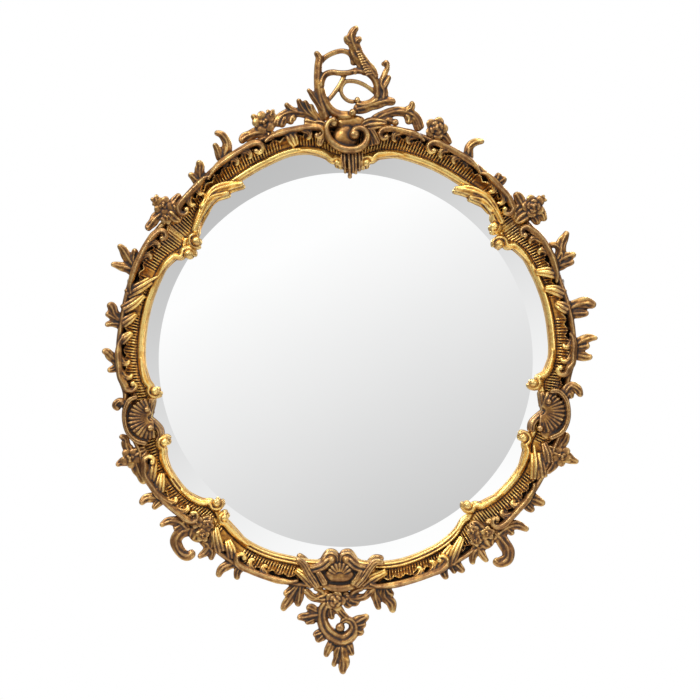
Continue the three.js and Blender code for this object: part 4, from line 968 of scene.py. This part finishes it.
leaves(carving, openwork["threads"], onCrest, times=1.4, lift=-12, half=4, relief=plain)
leaves(
    carving, openwork["leaves"], onCrest,
    times=1.15, lift=-9, half=6, relief=veined, lobes=3, notch=0.12, tip=2,
)
for x, height, radius, lift in openwork["balls"]:
    ball(carving, x, plateRadius + height, radius, lift)
# small steps climb the front of the flame leaf
steps = openwork["steps"]
for i in range(steps["count"]):
    t = i / (steps["count"] - 1)
    x = steps["from"][0] + t * (steps["to"][0] - steps["from"][0])
    y = steps["from"][1] + t * (steps["to"][1] - steps["from"][1])
    w = 5 - 1.6 * t
    stroke(carving, onCrest([[x - w, y - 1.6, 1.1], [x, y, 1.3], [x + w, y + 0.4, 1.1]]), -5.2, 3, plain)
carved("crest_openwork", carving)

foliageLeft = [
    [[-30, 22, 6], [-40, 33, 5], [-50, 39, 4.6], [-62, 41.5, 4.4], [-77, 41, 4.4], [-88, 34, 4.4],
     [-92, 22, 4.4]],
    [[-30, 22, 6], [-44, 26, 5], [-56, 26, 3.4]],
    [[-36, 30, 5], [-44, 42, 3.8], [-47, 53, 2.2]],
    [[-40, 34, 4], [-50, 46, 3.8], [-55, 58, 2.2]],
    [[-50, 38, 4], [-58, 48, 3.8], [-64, 60, 2.2]],
    [[-60, 41, 4], [-72, 45, 3.6], [-81, 54, 2.2]],
    [[-32, 22, 5], [-44, 29, 4.6], [-56, 31, 3.4]],
    [[-67, 39, 4.4], [-73, 32, 4], [-73, 25, 3]],
    [[-78, 38, 5], [-84, 30, 4.6], [-86, 21, 3.6]],
]
foliageRight = [
    [[34, 22, 7], [44, 34, 5.6], [56, 40, 5], [73, 43, 4.8], [86, 40, 4.8], [95, 32, 4.8], [100, 18, 4.8]],
    [[38, 18, 5], [46, 28, 4.4], [56, 31, 4.2], [64, 28, 3.4]],
    [[78, 42, 4], [87, 48, 3.8], [89, 57, 2.2]],
    [[36, 18, 6], [48, 29, 5], [60, 33, 3.4]],
    [[79, 40, 4.4], [84, 33, 4], [83, 25, 3.2]],
    [[88, 37, 5], [95, 27, 4.6], [97, 16, 3.8]],
]
carving = bmesh.new()
leaves(carving, foliageLeft, onCrest, times=1.35, lift=-10, half=6, relief=veined, lobes=3, notch=0.1, tip=2)
stroke(carving, onCrest([[-24, 20, 6], [-34, 24, 8], [-46, 24, 6]]), -9, 6.5, fluted)
carved("crest_foliage_left", carving)
carving = bmesh.new()
leaves(carving, foliageRight, onCrest, times=1.35, lift=-10, half=6, relief=veined, lobes=3, notch=0.1, tip=2)
ball(carving, 66, plateRadius + 28, 5, -7)
stroke(carving, onCrest([[20, 21, 7], [33, 25, 10], [46, 26, 8], [56, 26, 5]]), -6.5, 7, fluted)
carved("crest_foliage_right", carving)
print("crest done")


# The base: a clasp over the bottom joint, and the pendant hung from it.

clasp = {
    "bands": [
        [[-19, -24, 7], [-32, -13, 7], [-46, -9, 6.5], [-58, -10, 5]],
        [[1, -24, 7], [14, -13, 7], [28, -9, 6.5], [40, -11, 5]],
    ],
    "wraps": [
        [[-66, -24, 4], [-57, -17, 5], [-49, -4, 6], [-41, 8, 6], [-36, 16, 4]],
        [[52, -18, 4], [40, -19, 5], [32, -11, 5.5], [24, 1, 6], [12, 14, 6]],
        [[-38, -8, 4], [-32, 2, 5], [-26, 12, 5]],
        [[22, -10, 4], [16, 2, 5], [8, 12, 5]],
    ],
    "lip": [[-27, -5, 5], [-18, -1, 7], [-8, 0, 7.6], [2, -1, 7], [11, -5, 5]],
    "chin": [[-32, 10, 4], [-20, 14.5, 5], [-8, 16, 5.4], [4, 14.5, 5], [16, 10, 4]],
    "fan": {"hub": (-8, -1), "ends": [(5, 1.6), (18, 2.4)], "count": 7},
    "middle": -8.9,
    "curl": [[22.5, -10.5, 5], [20, -20.5, 4.6], [12.5, -29, 4.2], [5, -27, 3.8], [3.2, -20, 3.2],
             [7, -15.5, 2.6]],
}
carving = bmesh.new()
stroke(carving, onDrop([[-8, -18, 10], [-8, -2, 16], [-8, 9, 17], [-8, 20, 12]]), -10, 6, plain)
stroke(carving, onDrop([[-46, -4, 8], [-8, 2, 12], [30, -4, 8]]), -10, 7, plain)
leaves(carving, clasp["bands"], onDrop, lift=-6, half=8, relief=grooved)
leaves(carving, clasp["wraps"], onDrop, lift=-3, half=7, relief=fluted)
stroke(carving, onDrop(clasp["lip"]), -5, 6, plain)
stroke(carving, onDrop(clasp["chin"]), -6, 6, plain)
fan = clasp["fan"]
for turn in np.radians(np.linspace(-60, 60, fan["count"])):
    x, drop = fan["hub"]
    rows = [[x + far * math.sin(turn), drop - far * math.cos(turn), width] for far, width in fan["ends"]]
    stroke(carving, onDrop(rows), -2.2, 4, plain)
for side in (-1, 1):  # two curls meet over the joint
    rows = [[side * along + clasp["middle"], drop, width] for along, drop, width in clasp["curl"]]
    stroke(carving, onDrop(rows), -8, 6.5, grooved)
    ball(carving, side * 10.4 + clasp["middle"], -plateRadius + 21, 6.4, -5.5)
carved("base_clasp", carving)

pendantRose = {
    "leaves": [
        [[0, 24, 6], [8, 32, 6], [19, 35, 4]],
        [[-2, 30, 6], [4, 37, 5], [9, 39, 3.4]],
        [[-20, 20, 6], [-33, 27, 5], [-43, 31, 3.4]],
        [[-20, 30, 5], [-34, 31, 4.6], [-46, 26, 4.6], [-56, 17, 3.6]],
        [[-26, 26, 4], [-34, 19, 3.4], [-43, 15, 3]],
        [[0, 28, 5], [14, 30, 4.6], [25, 27, 4], [34, 20, 3.8], [40, 14, 3]],
        [[6, 26, 4], [14, 19, 3.4], [24, 15, 3]],
    ],
}
carving = bmesh.new()
stroke(carving, onDrop([[-8, 14, 16], [-9, 27, 16], [-10, 40, 11]]), -13, 6, plain)
leaves(carving, pendantRose["leaves"], onDrop, times=1.25, lift=-10, half=6, relief=veined, lobes=3, tip=2)
blossom(carving, -13.6, -plateRadius - 32.5, 11.5, -5)
blossom(carving, 1.5, -plateRadius - 30, 8, -8, 0.5)
carved("pendant_rose", carving)

pendant = {
    "scroll": [
        [[-24, 34, 6], [-31, 46, 6.4], [-31, 59, 7], [-26, 71, 8], [-16, 80, 8.6], [-4, 84, 9],
         [5, 80, 8.4], [11, 70, 7], [8, 61, 5.4],
         [0, 58, 4.4], [-7, 62, 3.4]],
    ],
    "leaves": [
        [[-13, 40, 5], [-5, 50, 4.4], [3, 57, 4.4]],
        [[-21, 40, 5], [-19.5, 49, 4.6], [-17.5, 58, 2.4]],
        [[-18, 40, 4], [-12, 46, 3.4], [-9, 50, 2.2]],
        [[-30, 50, 6], [-42, 52, 7], [-52, 54, 5.5], [-65, 55.5, 2.8]],
        [[-36, 48, 5], [-46, 43, 5], [-53, 41, 2.6]],
        [[-40, 56, 5], [-48, 60, 4], [-54, 63, 2.4]],
        [[-28, 72, 5], [-37, 77, 4.4], [-44, 78.5, 2.4]],
        [[-28, 76, 5], [-35, 83, 5], [-39, 88, 2.6]],
        [[9, 65, 6], [20, 58, 5.6], [31, 52, 2.8]],
        [[10, 66, 5], [20, 65, 4.6], [27.5, 63, 2.6]],
        [[10, 70, 5], [20, 74, 4.4], [25, 75, 2.6]],
        [[-6, 90, 7], [-4, 106, 7], [-3, 118, 6], [-4, 131, 2.4]],
        [[-8, 92, 5], [-12, 108, 4], [-16.5, 121, 2.4]],
        [[-18, 86, 6], [-23, 98, 4.4], [-27, 108, 2.4]],
        [[0, 88, 6], [6, 98, 4.6], [9.6, 106, 2.4]],
    ],
}
carving = bmesh.new()
leaves(carving, pendant["scroll"], onDrop, times=1.08, lift=-10, half=8, relief=grooved)
leaves(carving, pendant["leaves"], onDrop, times=1.3, lift=-11, half=6.5, relief=veined, lobes=3, tip=2)
ball(carving, -7.3, -plateRadius - 68, 6.5, -8)
carved("pendant_scroll", carving)
print("base done")


# Shells over the side joints, and the clusters of scroll and berries over the lower ones.

shells = {
    "side_shell_left": {
        "body": [[191.5, -3, 13], [194, 1, 14], [197, 3, 14], [200, -1, 13], [202.5, -7, 11]],
        "rim": [[190, -8, 3.6], [190.4, 3, 3.6], [192.4, 12, 3.6], [195.5, 17, 3.4], [198.5, 17, 3.4],
                [201, 11, 3.6], [203, -2, 3.6]],
        "curls": [
            [[190.8, -25, 4], [192.6, -22, 4.4], [194.4, -18, 4], [196.5, -13, 3.6]],
            [[196.5, -13, 3.6], [198.5, -19, 4], [200.6, -22, 4.4], [202.6, -19, 4], [203.4, -12, 3.6]],
        ],
        "sprigs": [[[192, 11, 5], [190.4, 17, 4.6], [191.2, 24, 3.8], [192.4, 19, 3.4]]],
        "balls": [[194, -15.5, 4], [199.2, -13, 4.6]],
        "hub": (196.6, -19.5), "reach": 30, "spread": (-84, 78), "count": 15,
    },
    "side_shell_right": {
        "body": [[349.5, -4, 12], [347, 0, 14], [344, 3, 14], [341, -1, 13], [338.6, -7, 11]],
        "rim": [[351.2, -14, 3.6], [351.6, -2, 3.6], [350.2, 8, 3.6], [347.6, 15, 3.4],
                [344.6, 18, 3.4], [341.6, 15, 3.6], [338.8, 2, 3.6]],
        "curls": [
            [[351, -24, 4], [349.4, -21, 4.4], [347.4, -18, 4], [345.6, -13, 3.6]],
            [[345.6, -13, 3.6], [343.4, -20, 4.2], [341, -24, 4.8], [338.6, -21, 4.4]],
        ],
        "sprigs": [
            [[350.6, 6, 6], [353.4, 13, 5.5], [352.2, 26, 4.4], [351, 29, 2.8]],
            [[350, 8, 5], [351.4, 14, 4.6], [350.2, 17, 3.4]],
        ],
        "balls": [[348.4, -12, 4], [340.6, -13.5, 4.6]],
        "hub": (345.4, -19.5), "reach": 30, "spread": (-78, 84), "count": 15,
    },
}
for node, form in shells.items():
    carving = bmesh.new()
    stroke(carving, onRing(form["body"]), -9.5, 5.5, plain)
    stroke(carving, onRing(form["rim"]), -3, 7, grooved)
    for at, height, radius in form["balls"]:
        x, y = ringPoint(at, height)
        ball(carving, x, y, radius, -3)
    leaves(carving, form["curls"], lift=-13, half=7, relief=grooved)
    leaves(carving, form["sprigs"], times=1.25, lift=-5, half=7, relief=veined, lobes=2)
    angle, height = form["hub"]
    x, y = ringPoint(angle, height)
    low, high = form["spread"]
    for i in range(form["count"]):
        turn = math.radians(angle + low + (high - low) * i / (form["count"] - 1))
        far = form["reach"] * (1 + 0.25 * math.cos(turn - math.radians(angle)))
        along = np.array([0.14, 0.5, 0.9])
        ends = x + along * far * math.cos(turn), y + along * far * math.sin(turn)
        stroke(carving, np.column_stack([*ends, 1.0 + 1.7 * along]), -7.4, 4, plain, bow=1.5)
    carved(node, carving)

clusters = {
    "cluster_seven": {
        "body": [[229.5, -14, 8], [229.5, 2, 13], [229.5, 18, 14], [229.5, 28, 12]],
        "leaves": [
            [[227.6, 14, 7], [226.4, 30, 6.5], [227, 43, 6.4], [229, 49.5, 6], [231, 47, 5.5],
             [231.7, 36, 4]],
            [[228, 22, 6], [224.4, 21, 6], [222.6, 28, 5], [221.8, 44, 2.4]],
            [[225, 20, 5], [224.6, 34, 2.6]],
            [[231, 20, 6], [233.6, 20, 5.4], [233.8, 30, 4.4], [233.3, 41, 2.2]],
            [[232.4, 20, 6], [235.2, 23, 4.6], [236, 34, 2.4]],
            [[231, 0, 4], [233.2, 8, 5], [234.6, 20, 4]],
            [[227.6, -2, 4], [225.6, 8, 5], [225, 20, 4]],
        ],
        "blossoms": [[230.8, 13, 8], [227.4, 5, 7.6], [230.2, -2, 7]],
    },
    "cluster_five": {
        "body": [[307.8, -16, 8], [307.8, 2, 13], [307.8, 18, 15], [307.8, 28, 13]],
        "leaves": [
            [[310.4, 12, 7], [311, 30, 7], [310.4, 45, 7], [308.8, 53, 6.4], [307, 50, 5.6],
             [306.7, 42, 4.4]],
            [[309, 22, 6], [314, 22, 6], [316.2, 30, 5], [317.1, 45, 2.6]],
            [[313.6, 20, 5], [314, 35, 2.8]],
            [[307, 8, 6], [305.4, 16, 6], [305.1, 41, 2.4]],
            [[307, 20, 6], [303.4, 21, 5], [301.8, 33, 2.6]],
            [[310.6, -4, 4], [312, 6, 5], [312.6, 18, 4]],
        ],
        "blossoms": [[309.4, 10, 8], [306.6, -4, 7.6], [305.8, 8, 7]],
    },
}
sprays = {
    "spray_top_left": {
        "body": [[108.6, 20, 12], [109, 34, 11]],
        "leaves": [
            [[108.6, 40, 6], [106.2, 43, 4]],
            [[110, 46, 6], [111, 62, 2.4]],
            [[108.6, 32, 6], [112, 37, 6], [114.4, 37, 5.4], [116, 33, 3]],
        ],
        "blossoms": [[109, 46, 13], [107, 53, 7]],
    },
    "rose_top_right": {
        "body": [[68.8, 22, 12], [68.6, 36, 11]],
        "leaves": [[[68, 44, 6], [66.6, 52, 3.4]], [[68.4, 36, 7], [66, 37, 5.4], [64, 31, 3]]],
        "blossoms": [[68.6, 43, 13]],
    },
    "spray_left": {
        "body": [[139.8, -2, 8], [139.8, 12, 11], [139.8, 22, 10]],
        "leaves": [
            [[139, 20, 6], [136.6, 23, 5], [134.8, 24, 3.4]],
            [[140.6, 25, 6], [144, 28, 5.4], [147, 28, 3.6]],
        ],
        "blossoms": [[139.8, 30, 11], [139.9, 41, 7], [138.2, 16, 8], [141.4, 16, 8]],
    },
    "rose_right": {
        "body": [[39.3, 2, 9], [39.3, 16, 12], [39.3, 28, 11]],
        "leaves": [
            [[40, 24, 6], [43, 27, 6], [44.8, 29, 3.4]],
            [[39, 36, 6], [36.6, 38, 5], [34.8, 35, 3.4]],
            [[38.6, 24, 6], [36.4, 27, 5], [35, 25, 3.2]],
            [[39.6, 6, 5], [41.6, 14, 5], [42, 22, 3.4]],
        ],
        "blossoms": [[39.3, 35, 13], [39.3, 49, 6]],
    },
    "spray_lower_left": {
        "body": [[204, 2, 8], [204.3, 14, 10], [204.5, 26, 9]],
        "leaves": [
            [[204.5, 28, 8], [204.7, 49, 2]],
            [[204, 22, 7], [201.6, 26, 5.4], [199.8, 24, 4.4], [198.5, 30, 2.4]],
            [[205, 22, 7], [208.6, 25, 6], [211.8, 25, 3.6]],
        ],
        "blossoms": [[204.5, 27, 11.5]],
    },
    "spray_lower_right": {
        "body": [[336, 2, 8], [336, 14, 10], [336, 26, 9]],
        "leaves": [
            [[336.1, 26, 9], [336.3, 51, 2]],
            [[337, 19, 7], [340, 21.5, 5.4], [342, 22, 3.4]],
            [[335, 19, 7], [332.4, 20, 6], [330.4, 18, 3.6]],
        ],
        "blossoms": [[336, 27, 11.5]],
    },
}
for node, form in {**clusters, **sprays}.items():
    carving = bmesh.new()
    stroke(carving, onRing(form["body"]), -10, 7, fluted)
    leaves(carving, form["leaves"], times=1.3, lift=-10, half=6, relief=veined, lobes=2, tip=2)
    for i, (angle, height, radius) in enumerate(form["blossoms"]):
        x, y = ringPoint(angle, height)
        kind = "rose" if node.startswith("rose") and i == 0 else "daisy"
        blossom(carving, x, y, radius, -6 if node in sprays else -3, math.radians(angle) + 0.4 * i, kind)
    carved(node, carving)
print("ornaments done")


# Turned and swept work, with crisp sections, for the glass, the board and the hardware

# Rows of [radius, depth] turned about (x, y); the corners stay sharp.
def turned(carving, rows, steps, x=0.0, y=0.0):
    rows = np.array(rows, float)

    def shape(u, v):
        i = np.clip(np.round(u * (len(rows) - 1)).astype(int), 0, len(rows) - 1)
        turn = 2 * np.pi * v
        radius = rows[i, 0]
        return np.column_stack([x + radius * np.cos(turn), y + radius * np.sin(turn), rows[i, 1]])

    rolled(carving, len(rows) - 1, steps, shape)


# A round wire along a closed loop of points.
def wire(carving, points, radius):
    count = len(points)
    side = leftOf(np.roll(points, -1, 0) - np.roll(points, 1, 0))
    side = np.column_stack([side, np.zeros(count)])

    def shape(u, v):
        i = np.round(u * count).astype(int) % count
        turn = 2 * np.pi * v
        out = side[i] * np.cos(turn)[:, None] + np.array([0, 0, 1]) * np.sin(turn)[:, None]
        return points[i] + radius * out

    rolled(carving, count, 20, shape)


# Points on an arc with two radii, from one angle to another in degrees.
def arc(x, y, across, up, start, stop, count):
    turn = np.radians(np.linspace(start, stop, count))
    return np.column_stack([x + across * np.cos(turn), y + up * np.sin(turn)])


def finished(name, carving, material, node, body="frame", sharp=30):
    mesh = bpy.data.meshes.new(name)
    bmesh.ops.recalc_face_normals(carving, faces=carving.faces)
    carving.to_mesh(mesh)
    carving.free()
    mesh.transform(onTheWall)
    for face in mesh.polygons:
        face.use_smooth = True
    mesh.set_sharp_from_angle(angle=math.radians(sharp))
    mesh.materials.append(material)
    piece = bpy.data.objects.new(name, mesh)
    bpy.context.scene.collection.objects.link(piece)
    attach(piece, body)
    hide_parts(node)


# The bevelled plate

glass = mottled(
    "silveredGlass",
    noise=(5, 3, 0.5),
    colors=[(0.3, (0.980, 0.985, 0.985)), (0.7, (0.996, 0.998, 0.998))],
    roughness=(0.004, 0.016),
    metallic=1,
)
flat = plateRadius - bevel["width"]
edge = plateFront - bevel["drop"]
carving = bmesh.new()
turned(
    carving,
    [
        [0, plateFront],
        [flat / 2, plateFront],
        [flat, plateFront],
        [flat + bevel["width"] / 2, (plateFront + edge) / 2],
        [plateRadius - 0.3, edge],
        [plateRadius, edge - 0.3],
        [plateRadius, plateBack],
        [0, plateBack],
    ],
    steps=360,
)
finished("mirror_glass_plate", carving, glass, "mirror_plate", sharp=2.5)


# The board and what is screwed to it

def boardWood():
    material, recipe, where, skin = newMaterial("boardWood")
    along = recipe.node("Mapping", "Vector", {"Vector": where, "Scale": (26, 26, 3)})
    streaks = recipe.noise(along, 3, 6, 0.6)
    pores = recipe.noise(along, 22, 4, 0.7)
    stains = recipe.noise(where, 6, 4, 0.6)
    browns = [(0.3, (0.17, 0.10, 0.052)), (0.52, (0.29, 0.18, 0.10)), (0.72, (0.36, 0.24, 0.14))]
    plank = recipe.ramp(streaks, browns)
    stained = recipe.mixed(recipe.mapped(stains, 0.5, 0.75, 0, 0.45), plank, (0.10, 0.06, 0.035))
    recipe.fill(skin["Base Color"], stained)
    recipe.fill(skin["Roughness"], recipe.mapped(pores, 0.3, 0.7, 0.62, 0.85))
    recipe.fill(skin["Normal"], recipe.bump(pores, 0.0005, 0.5))
    return material


steel = mottled(
    "platedSteel",
    noise=(160, 4, 0.6),
    colors=[(0.35, (0.40, 0.39, 0.37)), (0.65, (0.62, 0.61, 0.58))],
    roughness=(0.28, 0.5),
    metallic=1,
    bump=(0.0002, 0.3),
)
rubber = mottled(
    "bumperRubber",
    noise=(300, 5, 0.6),
    colors=[(0.35, (0.018, 0.017, 0.016)), (0.7, (0.05, 0.047, 0.044))],
    roughness=(0.65, 0.9),
    bump=(0.0003, 0.4),
)

boardFront = -boardLow.y / mm
boardBack = -boardHigh.y / mm
carving = bmesh.new()
turned(
    carving,
    [
        [0, boardFront],
        [boardRadius - 0.5, boardFront],
        [boardRadius, boardFront - 0.5],
        [boardRadius, boardBack + 0.6],
        [boardRadius - 0.6, boardBack],
        [0, boardBack],
    ],
    steps=256,
)
finished("board", carving, boardWood(), "backing_board")

ring = {"wire": 1.1, "bend": 2}
strap = {"knuckle": 2.8, "thick": 1.2, "half": 5.5, "length": 42, "foot": 3}


# The loop of a D-ring that hangs from top: a straight bar, two bent corners, two sides and a round foot.
def ringLoop(x, top, foot, outer, depth):
    bend = ring["bend"]
    drop = 0.8 * outer
    sides = np.linspace(top - bend, foot + drop, 5)
    loop = np.concatenate([
        [[x + along, top] for along in np.linspace(bend - outer, outer - bend, 9)],
        arc(x + outer - bend, top - bend, bend, bend, 75, 15, 5),
        [[x + outer, height] for height in sides[:4]],
        arc(x, foot + drop, outer, drop, 0, -180, 25),
        [[x - outer, height] for height in sides[3::-1]],
        arc(x - outer + bend, top - bend, bend, bend, 165, 105, 5),
    ])
    return np.column_stack([loop, np.full(len(loop), depth)])


# Section of the strap: up its plate and round the knuckle, as a band of even thickness.
def strapSection(middle, top):
    half = strap["thick"] / 2
    reach = strap["knuckle"] - half
    plate = [[-0.3 - half, top - strap["length"]], [-0.3 - half, top - 2]]
    line = np.concatenate([plate, arc(middle, top, reach, reach, -10, 296, 19)])
    out = leftOf(np.gradient(line, axis=0)) * half
    return np.concatenate([line + out, (line - out)[::-1]])


# A fixing's x and y, and the depths of its back and its front.
def fixing(node):
    low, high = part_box(node)
    return (low.x + high.x) / 2 / mm, (low.z + high.z) / 2 / mm, -high.y / mm, -low.y / mm


# Rows of [radius, depth from the back] over a screw's head and in to its shank.
heads = {
    "domed": [[0, 0], [0.9, 0.04], [1.7, 0.28], [2.4, 0.75], [2.8, 1.6], [1.5, 1.6]],
    "countersunk": [[0, 0.9], [0.5, 0.8], [0.9, 0], [2.8, 0], [1.5, 1.8]],
}


def screw(name, node, head):
    x, y, back, tip = fixing(node)
    rows = [[radius, back + depth] for radius, depth in heads[head]]
    carving = bmesh.new()
    turned(carving, rows + [[1.5, tip - 1.5], [0, tip]], 48, x, y)
    finished(name, carving, steel, node)


for side in ("left", "right"):
    low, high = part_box("hanger_ring_" + side)
    x = (low.x + high.x) / 2 / mm
    top = high.z / mm - ring["wire"]
    middle = -(low.y + high.y) / 2 / mm
    outer = (high.x - low.x) / 2 / mm - ring["wire"]
    carving = bmesh.new()
    wire(carving, ringLoop(x, top, low.z / mm + ring["wire"], outer, middle), ring["wire"])
    finished("ring_wire_" + side, carving, steel, "hanger_ring_" + side, "ring_" + side, 60)

    section = strapSection(middle, top)

    # the strap's plate narrows towards its foot
    def strapShape(u, v):
        i = np.round(v * len(section)).astype(int) % len(section)
        depth, height = section[i].T
        narrow = np.clip(strap["foot"] - (height - (top - strap["length"])), 0, strap["foot"])
        return np.column_stack([x + (2 * u - 1) * (strap["half"] - narrow), height, depth])

    carving = bmesh.new()
    rolled(carving, 1, len(section), strapShape)
    finished("strap_" + side, carving, steel, "hanger_strap_" + side)
    for i in (1, 2):
        screw("screw_%s_%d" % (side, i), "strap_screw_%s_%d" % (side, i), "domed")

for i in range(1, 9):
    screw("screw_%d" % i, "board_screw_%d" % i, "countersunk")

# Rows of [radius, depth from the back] round the soft edge of a bumper.
bumperEdge = [[6, 1.6], [5.86, 1.0], [5.5, 0.5], [5, 0.16], [4.4, 0], [0, 0]]
for side in ("left", "right"):
    x, y, back, front = fixing("bumper_" + side)
    rows = [[0, front], [5.7, front], [6, front - 0.3]]
    rows += [[radius, back + depth] for radius, depth in bumperEdge]
    carving = bmesh.new()
    turned(carving, rows, 64, x, y)
    finished("rubber_" + side, carving, rubber, "bumper_" + side, sharp=45)
print("plate, board and hardware done")


# Floor, light and camera

paint = mottled(
    "paleFloor",
    noise=(3, 3, 0.5),
    colors=[(0.3, (0.78, 0.78, 0.775)), (0.7, (0.82, 0.82, 0.815))],
    roughness=(0.8, 0.8),
)
ground = bmesh.new()
level = Matrix.Translation((0, 0, -0.66))
bmesh.ops.create_circle(ground, cap_ends=True, segments=96, radius=1.1, matrix=level)
groundMesh = bpy.data.meshes.new("floor")
ground.to_mesh(groundMesh)
ground.free()
groundMesh.materials.append(paint)
floor = bpy.data.objects.new("floor", groundMesh)
bpy.context.scene.collection.objects.link(floor)
floor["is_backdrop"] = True

lamps = {
    "key": {"at": (-1.3, -1.5, 1.5), "power": 25, "size": 0.9},
    "fill": {"at": (1.5, -1.6, 0.2), "power": 7, "size": 1.0},
    "top": {"at": (0.2, -0.5, 1.9), "power": 10, "size": 0.8},
    "rear": {"at": (0.9, 1.9, 1.0), "power": 24, "size": 1.2},
}
for name, form in lamps.items():
    light = bpy.data.lights.new(name, "AREA")
    light.energy = form["power"]
    light.shape = "DISK"
    light.size = form["size"]
    lamp = bpy.data.objects.new(name, light)
    lamp.location = form["at"]
    lamp.rotation_euler = Vector(form["at"]).to_track_quat("Z", "Y").to_euler()
    bpy.context.scene.collection.objects.link(lamp)

# The room behind the camera, which the plate shows: a pale patch straight ahead and darker round it.
# The camera itself sees plain white.
world = bpy.data.worlds.new("studio")
bpy.context.scene.world = world
world.use_nodes = True
nodes = world.node_tree.nodes
recipe = Recipe(world.node_tree)
towards = recipe.node("TexCoord", "Generated", {})
dx, dy, dz = [recipe.node("SeparateXYZ", axis, {"Vector": towards}) for axis in "XYZ"]


# A grey that slopes evenly over the directions, from least to white.
def slope(middle, perX, perZ, least):
    value = recipe.add(recipe.add(recipe.times(dx, perX), recipe.times(dz, perZ)), middle)
    return recipe.maths("MAXIMUM", recipe.maths("MINIMUM", value, 1.0), least)


off = recipe.maths("SQRT", recipe.add(recipe.times(dx, dx), recipe.times(dz, dz)), 0)
behind = recipe.mapped(dy, -0.1, 0.0, 1, 0)
patch = slope(0.853, -1.56, 3.02, 0.585)
surround = slope(0.766, 0.595, -1.034, 0.488)
greys = [(0.05, 0.20), (0.45, 0.34), (0.62, 0.62), (0.95, 0.95)]
sky = recipe.ramp(recipe.mapped(dz, -1, 1, 0, 1), [(at, (grey,) * 3) for at, grey in greys])
near = recipe.times(recipe.mapped(off, 0.10, 0.13, 1, 0), behind)
mid = recipe.times(recipe.mapped(off, 0.24, 0.34, 1, 0), behind)
shown = recipe.mixed(near, recipe.mixed(mid, sky, surround), patch)
recipe.fill(nodes["Background"].inputs["Color"], shown)
room = nodes["Background"].outputs["Background"]
white = recipe.node("Background", "Background", {"Color": (1, 1, 1)})
isCamera = recipe.node("LightPath", "Is Camera Ray", {})
chosen = recipe.node("MixShader", "Shader", {0: isCamera, 1: room, 2: white})
recipe.fill(nodes["World Output"].inputs["Surface"], chosen)

lens = bpy.data.cameras.new("camera")
lens.lens = 135
lens.sensor_width = 36
halfView = 0.4664  # m, from the middle of the photograph to its edge, at the mirror's front
away = halfView * lens.lens / (lens.sensor_width / 2)
camera = bpy.data.objects.new("camera", lens)
camera.location = (0.00573, -0.02 - away, 0.0132)
camera.rotation_euler = (math.radians(90), 0, 0)
bpy.context.scene.collection.objects.link(camera)
bpy.context.scene.camera = camera
bpy.context.scene.view_settings.view_transform = "Standard"

low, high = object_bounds()
